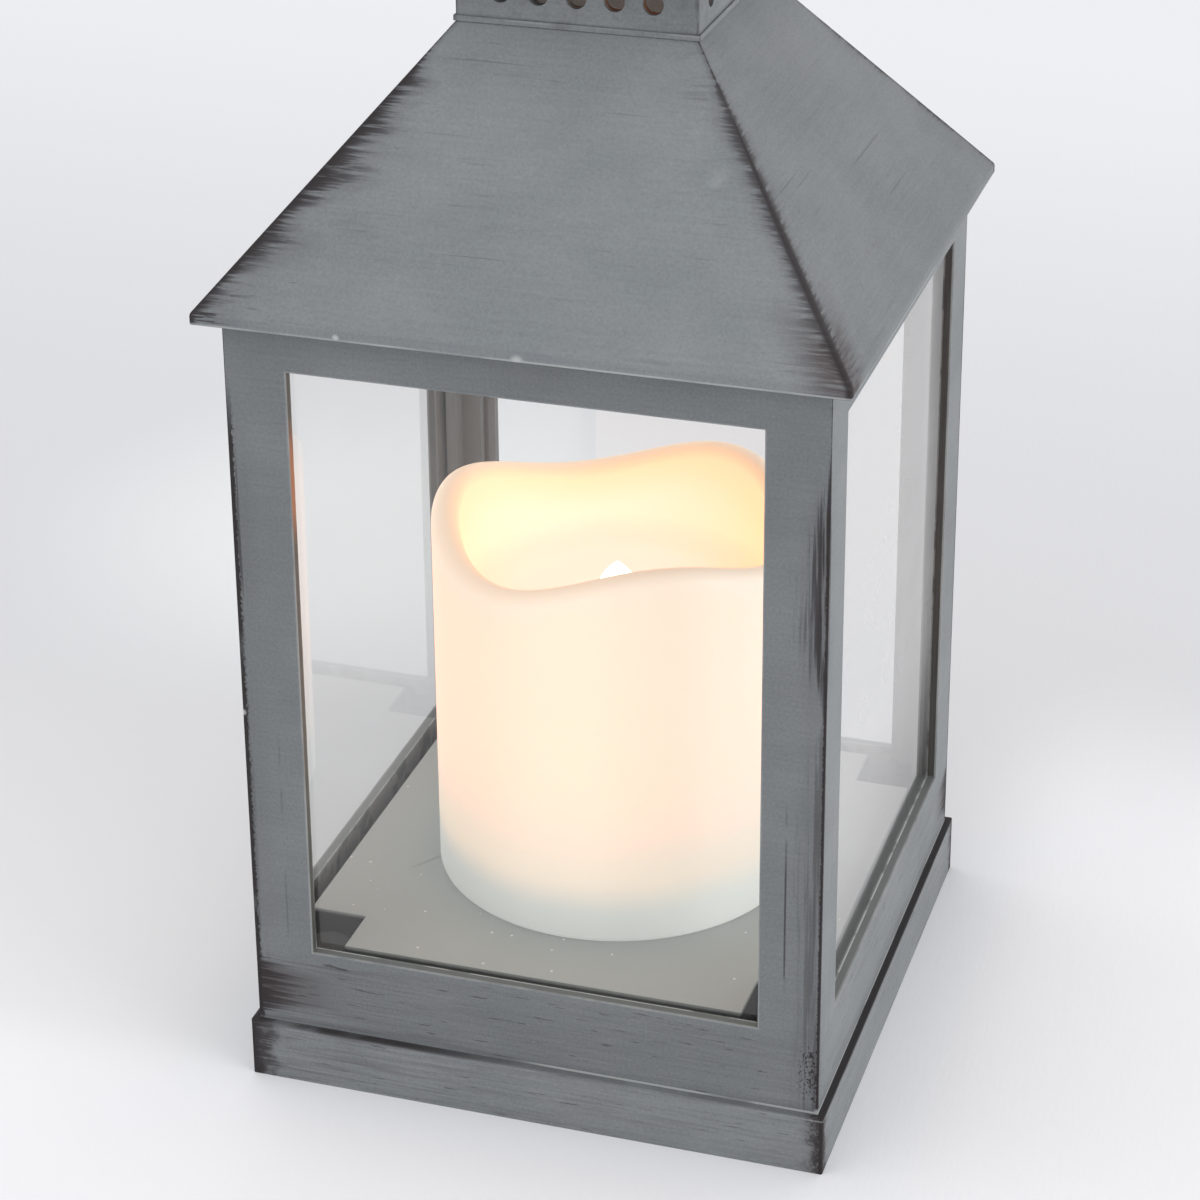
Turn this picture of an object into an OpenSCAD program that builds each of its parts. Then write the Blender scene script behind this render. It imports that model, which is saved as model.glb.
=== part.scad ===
// Battery lantern with a flameless candle: square housing, four windows, hipped roof, vent collar,
// cap with a hanging ring, and a base that holds the cells, the switch and the board.
// Millimetres, +Z up, origin in the middle of the face it stands on, front window towards -Y.

/* [Body] */
// Outside width of the square body
body_w = 100; // [94:1:122]
// Height of the body between the plinth and the eaves
body_h = 130.9; // [110:0.1:158]
// Wall of the body
wall = 1.85; // [1.5:0.05:2.3]
// Width of a corner post, seen from the front
post_w = 10.5; // [9.6:0.1:13]
// Height of the rail below a window
sill_h = 14.95; // [14.2:0.05:20]
// Height of the rail above a window
head_h = 8; // [6.6:0.1:14]

/* [Windows] */
// Thickness of a clear pane
pane_t = 1; // [0.8:0.05:1.3]
// Front-to-back play of a pane in its channel
pane_play = 0.25; // [0.15:0.01:0.4]
// Thickness of the rib behind a pane
rib_t = 1.9; // [1.4:0.05:2.4]
// How far the rib stops short of the window's edge
rib_setback = 1.8; // [1:0.1:2.4]

/* [Roof] */
// Overhang of the eaves past the body
eave_over = 3.875; // [2:0.005:8]
// Height of the upright lip round the eaves
eave_t = 1.8; // [1.2:0.1:3]
// Rise of the roof from the lip to the vent collar
roof_rise = 41.5; // [30:0.5:55]
// Thickness of the roof, measured through it
roof_t = 2; // [1.4:0.1:2.6]
// Depth of the skirt that locates the roof in the body
roof_skirt = 4.8; // [3:0.1:6]

/* [Vent collar and cap] */
// Outside width of the square vent collar
vent_w = 40.2; // [34:0.1:48]
// Height of the vent collar
vent_h = 10.4; // [9:0.1:16]
// Wall of the vent collar
vent_wall = 1.8; // [1.4:0.1:2.2]
// Diameter of a vent hole
hole_d = 3.5; // [2.5:0.1:4.5]
// Vent holes on each side
hole_count = 5; // [3:1:6]
// Distance between vent holes
hole_pitch = 6.35; // [5:0.05:6.6]
// Overhang of the cap past the collar
cap_over = 4.4; // [3:0.1:7]
// Height of the cap's lip
cap_lip = 1.6; // [1.2:0.1:3]
// Width of the small flat on top of the cap
cap_flat = 9; // [8:0.5:12]

/* [Hanger] */
// Radius of the hanging ring, to the middle of its wire
ring_r = 17; // [14:0.5:20]
// Thickness of the ring's wire
ring_wire = 2.6; // [2:0.1:3]
// Play of the ring's wire in the eye
eye_play = 0.7; // [0.5:0.05:1]
// Thickness of the eye's wire
eye_wire = 2.8; // [2.4:0.1:3.2]
// Height of the eye's middle above the cap
eye_rise = 9; // [8.4:0.1:12]

/* [Base] */
// How far the plinth stands out past the body
plinth_step = 1.2; // [0.6:0.1:3]
// Height of the plinth
plinth_h = 10.9; // [10:0.1:14]
// Walls and floor of the base moulding
base_t = 2; // [1.6:0.1:2.4]
// Drop from the sill to the floor plate
floor_drop = 0.6; // [0.2:0.1:2]
// Gap between a pane and the edge of the floor plate
floor_gap = 1.65; // [0.8:0.05:3]
// Gap between a screw boss and the notch in the floor plate round it
notch_gap = 1.4; // [0.8:0.1:2.5]
// Height of the cover plate above the standing face
cover_z = 2; // [1.5:0.1:2.5]
// Thickness of the cover plate
cover_t = 2; // [1.6:0.1:2.4]

/* [Battery bay] */
// Diameter of an AAA cell
cell_d = 10.5; // [10.5:0.1:10.5]
// Length of an AAA cell, with its button
cell_l = 44.5; // [44.5:0.1:44.5]
// Room for the spring at a cell's flat end
spring_room = 3.3; // [2.8:0.1:4]
// Thickness of the battery door
door_t = 1.6; // [1.2:0.1:1.8]
// Gap round the battery door
door_gap = 0.3; // [0.2:0.05:0.5]

/* [Switch] */
// Step between two switch positions
switch_step = 2; // [1.5:0.5:2.5]

/* [Candle] */
// Outside radius of the candle
candle_r = 32.4; // [26:0.1:37]
// Height of the candle to the middle of its wavy rim
candle_h = 66.6; // [50:0.1:85]
// Height of the rim's waves above and below its middle
wave = 3.3; // [0:0.1:5]
// Thickness of the candle's shell
candle_t = 2; // [1.4:0.1:2.6]
// Width of the rounded rim
rim_w = 5; // [4.4:0.1:6]
// Depth of the recess below the middle of the rim
well_depth = 17.5; // [14:0.5:22]

/* [Hidden] */
$fn = 64;
// overlap of shapes that are joined; cuts run 1 past the faces they open
eps = 0.01;

// levels, from the standing face up
floor_z = plinth_h + sill_h - floor_drop;
eave_z = plinth_h + body_h;
lip_z = eave_z + eave_t;
roof_z = lip_z + roof_rise;
cap_z = roof_z + vent_h;
pitch = atan(roof_rise / (body_w / 2 + eave_over - vent_w / 2));
cap_w = vent_w + 2 * cap_over;
cap_rise = (cap_w - cap_flat) / 2 * tan(pitch);
top_z = cap_z + cap_lip + cap_rise;
eye_z = top_z + eye_rise;

// hanger
shank_r = 2;
washer_r = 3.8;
washer_t = 1.2;
nut_r = 4;
nut_t = 3;
eye_r = ring_wire / 2 + eye_play + eye_wire / 2;
nut_top = top_z - roof_t / cos(pitch);
thread_past_nut = 1;

// fits between the roof, the vent collar and the cap
joint_play = 0.2;
collar_bead = 0.35;
collar_foot_t = 0.9;
collar_spigot_h = 5;
cap_plug_h = 2.4;

// corner channels: distances from an outer corner of the body
rib_in = wall + pane_t + pane_play;
rib_out = rib_in + rib_t;
rib_end = post_w - rib_setback;
web_start = 0.5;
web_end = rib_in + 0.8;
pane_side_gap = 0.2;
pane_top_gap = 0.2;
window_w = body_w - 2 * post_w;
pane_w = body_w - 2 * (web_end + pane_side_gap);
pane_top = eave_z - roof_skirt - pane_top_gap;

// corner screws: middle of each, from the axis
boss_r = 3.6;
boss_gap = 0.9;
boss_in = rib_out + boss_gap + boss_r;
boss_at = body_w / 2 - boss_in;
boss_drop = 3.3;
boss_top = floor_z - boss_drop;
boss_cap_t = 1.5;
screw_tip_gap = 1;
screw_r = 1.5;
screw_hole_r = 1.75;
screw_head_r = 2.8;
screw_head_t = 1.6;
cup_r = 4.6;
cup_bore_r = 3.2;
cup_rise = 2.5;
cup_top = cover_z + cover_t + cup_rise;
seat_rise = 2.7;
seat_z = cover_z + seat_rise;
pillar_r = 3.4;
fit = 0.05;

// base moulding
plinth_w = body_w + 2 * plinth_step;
plug_w = body_w - 2 * (wall + pane_t + floor_gap);
notch_at = boss_at - boss_r - notch_gap;
deck_z = plinth_h - base_t;
floor_under = floor_z - base_t;
cover_play = 0.3;
cover_w = plinth_w - 2 * base_t - 2 * cover_play;
cover_top = cover_z + cover_t;

// battery bay, its middle a little forward of the axis
bay_y = -10;
cell_play = 0.3;
bay_wall = 2;
bay_roof = 1.2;
door_ledge = 1;
contact_t = 0.4;
contact_h = 7.4;
contact_w = 8;
cell_pitch = cell_d + cell_play;
bay_l = cell_l + spring_room + contact_t;
bay_w = 3 * cell_pitch;
door_l = bay_l + 2 * door_ledge - 2 * door_gap;
door_w = bay_w + 2 * door_ledge - 2 * door_gap;
door_top = cover_z + door_t;
bay_play = 0.4;
cell_z = door_top + bay_play + cell_d / 2;
bay_top = cell_z + cell_d / 2 + bay_play;
hinge_x = -bay_l / 2 - door_ledge;
tongue_w = 6;
tongue_t = 1;
tongue_hook = 1.4;
tongue_neck = 1.8;
tongue_lift = 0.05;
tongue_play = 0.3;
tongue_end_play = 0.4;
tongue_head_room = 0.8;
finger_r = 7;
finger_depth = 0.9;
latch_l = 9;
latch_w = 9;
latch_slot = 0.8;
ridge_h = 0.4;
ridge_t = 0.8;
ridge_l = 6;
ridge_pitch = 2;
ridge_in = 3;
spring_wire = 0.35;
spring_turns = 3;
spring_r = 3.2;
spring_taper = 0.8;
button_r = 1.9;
button_h = 0.9;

// board behind the bay, with the switch soldered under it
board_y = 27;
board_w = 38;
board_d = 16;
board_t = 1.2;
switch_l = 14;
switch_w = 7;
switch_h = 5;
switch_wall = 0.8;
knob_w = 3;
knob_proud = 1;
slot_play = 0.5;
shuttle_l = 7;
shuttle_t = 1.4;
shuttle_play = 0.2;
shuttle_end_play = 0.3;
board_z = cover_top + switch_h;
board_top = board_z + board_t;
post_r = 2.6;
post_x = 15.5;
small_screw_r = 1.1;
small_head_r = 2;
small_head_t = 1.2;
board_hole_r = small_screw_r + 0.2;
board_screw_l = 5.5;
chip_x = 2;
chip_y = 2.5;
chip_r = 5;
chip_sunk = 3.4;

// candle
rim_r = rim_w / 2;
rim_z = floor_z + candle_h;
well_r = candle_r - rim_w;
well_z = rim_z - well_depth;
well_fillet = 5;
wick_r = 4.1;
foot_t = 2;
foot_wall = 1.6;
foot_h = 10;
foot_play = 0.1;
foot_r = candle_r - candle_t - foot_play;
foot_boss_r = 3.2;
foot_boss_x = 20;
foot_hole_r = small_screw_r + 0.3;
foot_screw_grip = 7;
stem_r = 4.2;
stem_bore = 2.2;
socket_wall = 1.6;
tip_flange_r = 5.6;
tip_flange_t = 1.2;
stem_top = well_z - candle_t - tip_flange_t;
lamp_r = 2.5;
lamp_sunk = 4;
lamp_h = 8.6;
lamp_play = 0.1;
flame_r = 3.9;
flame_h = 8.3;

// leads: by hand, from the contacts to the board, and from the board up the stem to the lamp
lead_r = 0.6;
lead_hole_r = 0.9;
lead_x = 1.2;
led_route = [[6, 21, board_top], [6, 21, board_top + 1.6], [5.4, 19, board_top + 5.2],
             [4, 14, bay_top + 3.2], [2.6, 8, bay_top + 4.6], [1.5, 3, bay_top + 5.2],
             [lead_x, 0.6, floor_under], [lead_x, 0, floor_z], [lead_x, 0, floor_z + 12],
             [lead_x, 0, stem_top - 20], [lead_x, 0, stem_top - lamp_sunk]];
plus_route = [[bay_l / 2, bay_y - cell_pitch, cell_z], [bay_l / 2 + 3.6, bay_y - cell_pitch, cell_z],
              [bay_l / 2 + 6, -18, cell_z], [bay_l / 2 + 6.4, -8, cell_z], [bay_l / 2 + 6.4, 4, cell_z + 0.6],
              [28.4, 13.4, board_top + 1.4], [23.6, 19.4, board_top + 2.6], [18.4, 21.8, board_top + 2.3],
              [16, 22.5, board_top + 1.2], [16, 22.5, board_top]];
minus_route = [[-bay_l / 2, bay_y + cell_pitch, cell_z], [-bay_l / 2 - 3.6, bay_y + cell_pitch, cell_z],
               [-bay_l / 2 - 6, 4.6, cell_z + 0.4], [-bay_l / 2 - 6, 10.4, cell_z + 1.4],
               [-27, 16.6, board_top + 1.8], [-21.6, 20.8, board_top + 2.5], [-16, 22.5, board_top + 1.4],
               [-16, 22.5, board_top]];

// ---- shared shapes ----

// box centred on the axis, standing at height z
module block(w, d, h, z = 0) {
    translate([-w / 2, -d / 2, z]) cube([w, d, h]);
}

// square tube centred on the axis
module square_ring(outer, inner, h, z) {
    difference() {
        block(outer, outer, h, z);
        block(inner, inner, h + 2, z - 1);
    }
}

// square pyramid cut off flat: two crossed prisms
module frustum(low_w, high_w, h, z) {
    outline = [[-low_w / 2, 0], [low_w / 2, 0], [high_w / 2, h], [-high_w / 2, h]];
    translate([0, 0, z]) intersection() {
        translate([0, low_w / 2, 0]) rotate([90, 0, 0]) linear_extrude(low_w) polygon(outline);
        translate([-low_w / 2, 0, 0]) rotate([90, 0, 90]) linear_extrude(low_w) polygon(outline);
    }
}

// repeats its children at the four corners
module corners(at) {
    for (turn = [0 : 3]) rotate([0, 0, 90 * turn]) translate([-at, -at, 0]) children();
}

// round tube swept along a list of points, as one closed surface
module swept(points, r, sides = 8) {
    last = len(points) - 1;
    ahead = [for (i = [0 : last]) points[min(i + 1, last)] - points[max(i - 1, 0)]];
    side = [for (d = ahead) unit(cross(d, abs(d[0]) > 0.9 * norm(d) ? [0, 1, 0] : [1, 0, 0]))];
    rings = [for (i = [0 : last]) for (k = [0 : sides - 1])
        points[i] + r * (side[i] * cos(360 * k / sides)
                         + unit(cross(ahead[i], side[i])) * sin(360 * k / sides))];
    walls = [for (i = [0 : last - 1]) for (k = [0 : sides - 1])
        [i * sides + k, i * sides + (k + 1) % sides,
         (i + 1) * sides + (k + 1) % sides, (i + 1) * sides + k]];
    polyhedron(rings, concat(walls, [[for (k = [sides - 1 : -1 : 0]) k]],
                             [[for (k = [0 : sides - 1]) last * sides + k]]), convexity = 6);
}

function unit(v) = v / norm(v);

// pan-head screw standing on its head's seat, with its point upwards
module screw(head_r, head_t, shank_r, length) {
    cross_l = 1.2 * head_r;
    cross_w = 0.7;
    cross_depth = 0.9;
    tip_r = 0.3;
    difference() {
        translate([0, 0, -head_t]) cylinder(r = head_r, h = head_t);
        for (turn = [0, 90]) rotate([0, 0, turn]) block(cross_l, cross_w, cross_depth + 1, -head_t - 1);
    }
    translate([0, 0, -eps]) cylinder(r = shank_r, h = length - shank_r);
    translate([0, 0, length - shank_r - eps]) cylinder(r1 = shank_r, r2 = tip_r, h = shank_r);
}

// ---- body and windows ----

// channel for two panes, and the screw boss at its foot, with the outer corner at the origin
module corner_channel() {
    channel_h = pane_top - plinth_h;
    web_w = web_end - web_start;
    translate([web_start, web_start, plinth_h]) cube([web_w, web_w, channel_h]);
    translate([rib_in, rib_in, plinth_h]) cube([rib_end - rib_in, rib_t, channel_h]);
    translate([rib_in, rib_in, plinth_h]) cube([rib_t, rib_end - rib_in, channel_h]);
    translate([boss_in, boss_in, plinth_h]) cylinder(r = boss_r, h = boss_top - plinth_h);
    gusset = boss_in - rib_in - rib_t / 2;
    translate([boss_in - gusset, boss_in - gusset, plinth_h])
        cube([gusset, gusset, boss_top - plinth_h]);
}

module body_frame() {
    window_h = body_h - sill_h - head_h;
    color("#6f7677") difference() {
        union() {
            square_ring(body_w, body_w - 2 * wall, body_h, plinth_h);
            corners(body_w / 2) corner_channel();
        }
        block(window_w, body_w + 2, window_h, plinth_h + sill_h);
        block(body_w + 2, window_w, window_h, plinth_h + sill_h);
        corners(boss_at) translate([0, 0, plinth_h - 1])
            cylinder(r = screw_r + fit, h = boss_top - boss_cap_t - plinth_h + 1);
    }
}

// one clear pane, in the channel towards -Y
module pane() {
    color("#dfe8ea", 0.35) translate([-pane_w / 2, -body_w / 2 + wall, plinth_h])
        cube([pane_w, pane_t, pane_top - plinth_h]);
}

// ---- roof, collar and cap ----

module roof() {
    across = roof_t / sin(pitch);
    up = roof_t / cos(pitch);
    skirt_w = body_w - 2 * wall - joint_play;
    spigot_w = vent_w - 2 * vent_wall + joint_play;
    color("#7c8283") difference() {
        union() {
            block(body_w + 2 * eave_over, body_w + 2 * eave_over, eave_t, eave_z);
            frustum(body_w + 2 * eave_over, vent_w, roof_rise, lip_z);
            block(skirt_w, skirt_w, roof_skirt + eps, eave_z - roof_skirt);
        }
        block(skirt_w - 2 * wall, skirt_w - 2 * wall, roof_skirt + eave_t, eave_z - roof_skirt - eps);
        intersection() {
            frustum(body_w + 2 * eave_over - 2 * across, vent_w - 2 * across, roof_rise, lip_z - eps);
            block(skirt_w - 2 * wall, skirt_w - 2 * wall, roof_rise - up + eave_t, eave_z);
        }
        block(spigot_w, spigot_w, roof_rise, lip_z + eave_t);
    }
}

module vent_collar() {
    foot_w = vent_w + 2 * collar_bead;
    hollow_w = vent_w - 2 * vent_wall;
    bore_w = hollow_w - 2 * vent_wall;
    hole_z = roof_z + vent_h / 2;
    color("#7c8283") difference() {
        union() {
            block(vent_w, vent_w, vent_h, roof_z);
            block(foot_w, foot_w, collar_foot_t, roof_z);
            block(hollow_w, hollow_w, collar_spigot_h, roof_z - collar_spigot_h + eps);
        }
        block(bore_w, bore_w, collar_spigot_h + 2, roof_z - collar_spigot_h - 1);
        block(hollow_w, hollow_w, vent_h, roof_z + collar_foot_t);
        for (turn = [0, 90]) for (i = [0 : hole_count - 1])
            rotate([90, 0, turn]) translate([(i - (hole_count - 1) / 2) * hole_pitch, hole_z, -vent_w])
                cylinder(d = hole_d, h = 2 * vent_w);
    }
}

module cap() {
    across = roof_t / sin(pitch);
    up = roof_t / cos(pitch);
    plug_w = vent_w - 2 * vent_wall - joint_play;
    inner_w = plug_w - 2 * vent_wall;
    color("#7c8283") difference() {
        union() {
            block(cap_w, cap_w, cap_lip, cap_z);
            frustum(cap_w, cap_flat, cap_rise, cap_z + cap_lip);
            block(plug_w, plug_w, cap_plug_h, cap_z - cap_plug_h + eps);
        }
        block(inner_w, inner_w, cap_plug_h + cap_lip + 2 * eps, cap_z - cap_plug_h - eps);
        intersection() {
            frustum(cap_w - 2 * across, cap_flat, cap_rise - up, cap_z + cap_lip);
            block(inner_w, inner_w, cap_rise, cap_z);
        }
        cylinder(r = shank_r + fit, h = top_z + 1);
    }
}

// ---- hanger ----

module hanger_eye() {
    thread_end = nut_top - nut_t - thread_past_nut;
    color("#4a4746") {
        translate([0, 0, eye_z]) rotate([0, 90, 0]) rotate_extrude()
            translate([eye_r, 0]) circle(d = eye_wire);
        translate([0, 0, thread_end]) cylinder(r = shank_r, h = eye_z - eye_r - thread_end);
        translate([0, 0, top_z]) cylinder(r = washer_r, h = washer_t);
    }
}

module hanger_nut() {
    color("#b9bcbd") translate([0, 0, nut_top - nut_t]) difference() {
        cylinder(r = nut_r, h = nut_t, $fn = 6);
        translate([0, 0, -1]) cylinder(r = shank_r + fit, h = nut_t + 2);
    }
}

// the ring lies towards the front slope of the cap, turning about the middle of the eye
module ring_handle() {
    color("#4a4746") translate([0, 0, eye_z]) rotate([pitch, 0, 0]) translate([0, -ring_r, 0])
        rotate_extrude($fn = 96) translate([ring_r, 0]) circle(d = ring_wire);
}

// ---- base ----

// outline of the floor plate: a square with a notch at each screw boss
module plug_outline(inset) {
    difference() {
        square(plug_w - 2 * inset, center = true);
        for (x = [-1, 1]) for (y = [-1, 1])
            translate([x * plug_w / 2, y * plug_w / 2])
                square(plug_w - 2 * (notch_at - inset), center = true);
    }
}

module base_plinth() {
    color("#6f7677") difference() {
        union() {
            square_ring(plinth_w, plinth_w - 2 * base_t, plinth_h, 0);
            block(plinth_w - base_t, plinth_w - base_t, base_t, deck_z);
            translate([0, 0, deck_z]) linear_extrude(floor_z - deck_z) plug_outline(0);
            corners(boss_at) translate([0, 0, cup_top]) cylinder(r = pillar_r, h = deck_z - cup_top + 1);
        }
        translate([0, 0, deck_z - 1]) linear_extrude(floor_under - deck_z + 1) plug_outline(base_t);
        corners(boss_at) translate([0, 0, cup_top - 1]) cylinder(r = screw_hole_r, h = plinth_h);
        for (x = [-foot_boss_x, foot_boss_x]) translate([x, 0, floor_under - 1])
            cylinder(r = foot_hole_r, h = base_t + 2);
        translate([0, 0, floor_under - 1]) cylinder(r = stem_bore, h = base_t + 2);
    }
}

// box of the battery bay, grown by a margin, between two heights
module bay_box(margin, z0, z1) {
    translate([0, bay_y, 0]) block(bay_l + 2 * margin, bay_w + 2 * margin, z1 - z0, z0);
}

// repeats its children at the two tongues of the battery door
module tongues() {
    for (y = [-cell_pitch, cell_pitch]) translate([hinge_x, bay_y + y, cover_top]) children();
}

module base_cover() {
    slot_l = knob_w + 2 * switch_step + 2 * slot_play;
    socket_w = tongue_w + 2 * tongue_play;
    socket_l = tongue_hook + tongue_end_play;
    color("#5b5f60") difference() {
        union() {
            block(cover_w, cover_w, cover_t, cover_z);
            corners(boss_at) translate([0, 0, cover_z]) cylinder(r = cup_r, h = cup_top - cover_z);
            bay_box(bay_wall, cover_z, bay_top + bay_roof);
            for (x = [-post_x, post_x]) translate([x, board_y, cover_z])
                cylinder(r = post_r, h = board_z - cover_z);
        }
        bay_box(door_ledge, cover_z - 1, door_top + 0.1);
        bay_box(0, cover_z, bay_top);
        corners(boss_at) translate([0, 0, cover_z - 1]) cylinder(r = cup_bore_r, h = seat_z - cover_z + 1);
        corners(boss_at) translate([0, 0, seat_z - 1]) cylinder(r = screw_hole_r, h = cup_top);
        tongues() {
            translate([-socket_l, -socket_w / 2, 0])
                cube([socket_l + door_ledge + 0.6, socket_w, tongue_t + tongue_head_room]);
            translate([0, -socket_w / 2, door_top - cover_top - 0.1])
                cube([door_ledge + 0.6, socket_w, 1]);
        }
        translate([-hinge_x - 0.5, bay_y, cover_z - 1]) cylinder(r = finger_r, h = finger_depth + 1);
        translate([0, board_y, 0]) block(slot_l, knob_w + 2 * slot_play, cover_t + 2, cover_z - 1);
        for (x = [-post_x, post_x]) translate([x, board_y, cover_top])
            cylinder(r = small_screw_r + fit, h = board_z);
        for (end = [-1, 1]) translate([end * bay_l / 2, bay_y - end * cell_pitch, cell_z])
            rotate([0, 90 * end, 0]) translate([0, 0, -1]) cylinder(r = lead_hole_r, h = bay_wall + 2);
    }
}

module base_screws() {
    color("#8b8e90") corners(boss_at) translate([0, 0, seat_z])
        screw(screw_head_r, screw_head_t, screw_r, boss_top - boss_cap_t - screw_tip_gap - seat_z);
}

module battery_door() {
    latch_x = door_l / 2 - latch_l;
    color("#5b5f60") {
        difference() {
            translate([0, bay_y, 0]) block(door_l, door_w, door_t, cover_z);
            for (side = [-1, 1])
                translate([latch_x, bay_y + side * latch_w / 2 - latch_slot / 2, cover_z - 1])
                    cube([latch_l + 1, latch_slot, door_t + 2]);
        }
        for (i = [0 : 2])
            translate([latch_x + ridge_in + ridge_pitch * i, bay_y - ridge_l / 2, cover_z - ridge_h])
                cube([ridge_t, ridge_l, ridge_h + 0.2]);
        tongues() {
            translate([door_gap, -tongue_w / 2, door_top - cover_top - 0.2])
                cube([tongue_neck, tongue_w, cover_top - door_top + tongue_t + tongue_lift + 0.2]);
            translate([-tongue_hook, -tongue_w / 2, tongue_lift])
                cube([tongue_hook + door_gap + 0.5, tongue_w, tongue_t]);
        }
    }
}

// one cell; row -1, 0 and 1 from the front, every other one turned round
module battery(row) {
    turned = row == 0 ? 180 : 0;
    color("#3f6f8f") translate([0, bay_y + row * cell_pitch, cell_z]) rotate([0, 0, turned])
        translate([bay_l / 2 - contact_t, 0, 0]) rotate([0, -90, 0]) {
            cylinder(r = button_r, h = button_h + 1);
            translate([0, 0, button_h]) cylinder(d = cell_d, h = cell_l - button_h);
        }
}

// one coil spring between a contact plate and a cell's flat end, narrowing towards the cell
module contact_spring(row) {
    turned = row == 0 ? 0 : 180;
    steps = 14 * spring_turns;
    room = spring_room - contact_t - 2 * spring_wire;
    path = [for (i = [0 : steps])
        [bay_l / 2 - contact_t - spring_wire - room * i / steps,
         (spring_r - spring_taper * i / steps) * cos(360 * spring_turns * i / steps),
         (spring_r - spring_taper * i / steps) * sin(360 * spring_turns * i / steps)]];
    translate([0, bay_y + row * cell_pitch, cell_z]) rotate([0, 0, turned]) swept(path, spring_wire, 6);
}

module contact_springs() {
    color("#c3c6c8") for (row = [-1 : 1]) contact_spring(row);
}

// at each end one plate serves two cells and one serves the last
module contact_plates() {
    color("#c3c6c8") for (turn = [0, 180]) translate([0, bay_y, cell_z]) rotate([0, 0, turn]) {
        translate([bay_l / 2 - contact_t, -cell_pitch - contact_w / 2, -contact_h / 2])
            cube([contact_t, contact_w, contact_h]);
        translate([bay_l / 2 - contact_t, -contact_w / 2, -contact_h / 2])
            cube([contact_t, contact_w + cell_pitch, contact_h]);
    }
}

module power_leads() {
    color("#a83232") swept(plus_route, lead_r);
    color("#2b2b2b") swept(minus_route, lead_r);
}

// ---- switch and board ----

module switch_body() {
    inner_l = shuttle_l + 2 * (switch_step + shuttle_end_play);
    slot_w = knob_w + 2 * shuttle_play;
    color("#2e3031") translate([0, board_y, cover_top]) difference() {
        block(switch_l, switch_w, switch_h);
        block(inner_l, switch_w - 2 * switch_wall, shuttle_t + 2 * shuttle_play, switch_wall);
        block(slot_w + 2 * switch_step, slot_w, switch_wall + 2, -1);
    }
}

module switch_slider() {
    shuttle_z = cover_top + switch_wall + shuttle_play;
    shuttle_w = switch_w - 2 * switch_wall - 2 * shuttle_play;
    knob_z = cover_z - knob_proud;
    color("#1d1e1f") translate([-switch_step, board_y, 0]) {
        block(knob_w, knob_w, shuttle_z + 0.2 - knob_z, knob_z);
        block(shuttle_l, shuttle_w, shuttle_t, shuttle_z);
    }
}

module circuit_board() {
    color("#2f6b45") difference() {
        translate([0, board_y, 0]) block(board_w, board_d, board_t, board_z);
        for (x = [-post_x, post_x]) translate([x, board_y, board_z - 1])
            cylinder(r = board_hole_r, h = board_t + 2);
    }
}

module timer_chip() {
    color("#1a1a1c") translate([chip_x, board_y + chip_y, board_top]) intersection() {
        translate([0, 0, -chip_sunk]) sphere(r = chip_r);
        block(2 * chip_r, 2 * chip_r, chip_r);
    }
}

module board_screws() {
    color("#8b8e90") for (x = [-post_x, post_x]) translate([x, board_y, board_top]) rotate([180, 0, 0])
        screw(small_head_r, small_head_t, small_screw_r, board_screw_l);
}

module led_leads() {
    color("#a83232") swept(led_route, lead_r);
    color("#2b2b2b") mirror([1, 0, 0]) swept(led_route, lead_r);
}

// ---- candle ----

module candle_foot() {
    color("#e9e4d6") translate([0, 0, floor_z]) difference() {
        cylinder(r = foot_r, h = foot_h);
        difference() {
            translate([0, 0, foot_t]) cylinder(r = foot_r - foot_wall, h = foot_h);
            cylinder(r = stem_r + socket_wall, h = foot_h);
            for (x = [-foot_boss_x, foot_boss_x]) translate([x, 0, 0])
                cylinder(r = foot_boss_r, h = foot_h);
        }
        translate([0, 0, foot_t]) cylinder(r = stem_r + fit, h = foot_h);
        translate([0, 0, -1]) cylinder(r = stem_bore, h = foot_t + 2);
        for (x = [-foot_boss_x, foot_boss_x]) translate([x, 0, -1])
            cylinder(r = small_screw_r + fit, h = foot_h);
    }
}

module candle_screws() {
    color("#8b8e90") for (x = [-foot_boss_x, foot_boss_x]) translate([x, 0, floor_under])
        screw(small_head_r, small_head_t, small_screw_r, base_t + foot_screw_grip);
}

module led_stem() {
    color("#e9e4d6") translate([0, 0, floor_z + foot_t]) difference() {
        cylinder(r = stem_r, h = stem_top - floor_z - foot_t);
        translate([0, 0, -1]) cylinder(r = stem_bore, h = stem_top);
        translate([0, 0, stem_top - floor_z - foot_t - lamp_sunk]) cylinder(r = lamp_r + fit, h = stem_top);
    }
}

module led_lamp() {
    color("#fff2b8") translate([0, 0, stem_top - lamp_sunk]) {
        cylinder(r = lamp_r, h = lamp_h - lamp_r);
        translate([0, 0, lamp_h - lamp_r]) sphere(r = lamp_r);
    }
}

// radius of the flame tip at a share of its height
function flame_at(share) = flame_r * pow(cos(90 * pow(share, 1.5)), 0.9);

module flame_tip() {
    steps = 14;
    hollow_r = lamp_r + lamp_play;
    outline = [for (i = [0 : steps - 1]) [flame_at(i / steps), well_z + flame_h * i / steps]];
    color("#fff6d8") difference() {
        rotate_extrude() polygon(concat([[0, stem_top], [tip_flange_r, stem_top],
                                         [tip_flange_r, stem_top + tip_flange_t],
                                         [flame_r, stem_top + tip_flange_t]],
                                        outline, [[0, well_z + flame_h]]));
        translate([0, 0, stem_top - 1]) cylinder(r = hollow_r, h = lamp_h - lamp_sunk - lamp_r + 1);
        translate([0, 0, stem_top - lamp_sunk + lamp_h - lamp_r]) sphere(r = hollow_r);
    }
}

// height of the rim's crest at an angle: three waves round the candle
function crest(angle) = rim_z + wave * cos(3 * (angle - 60));

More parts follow.
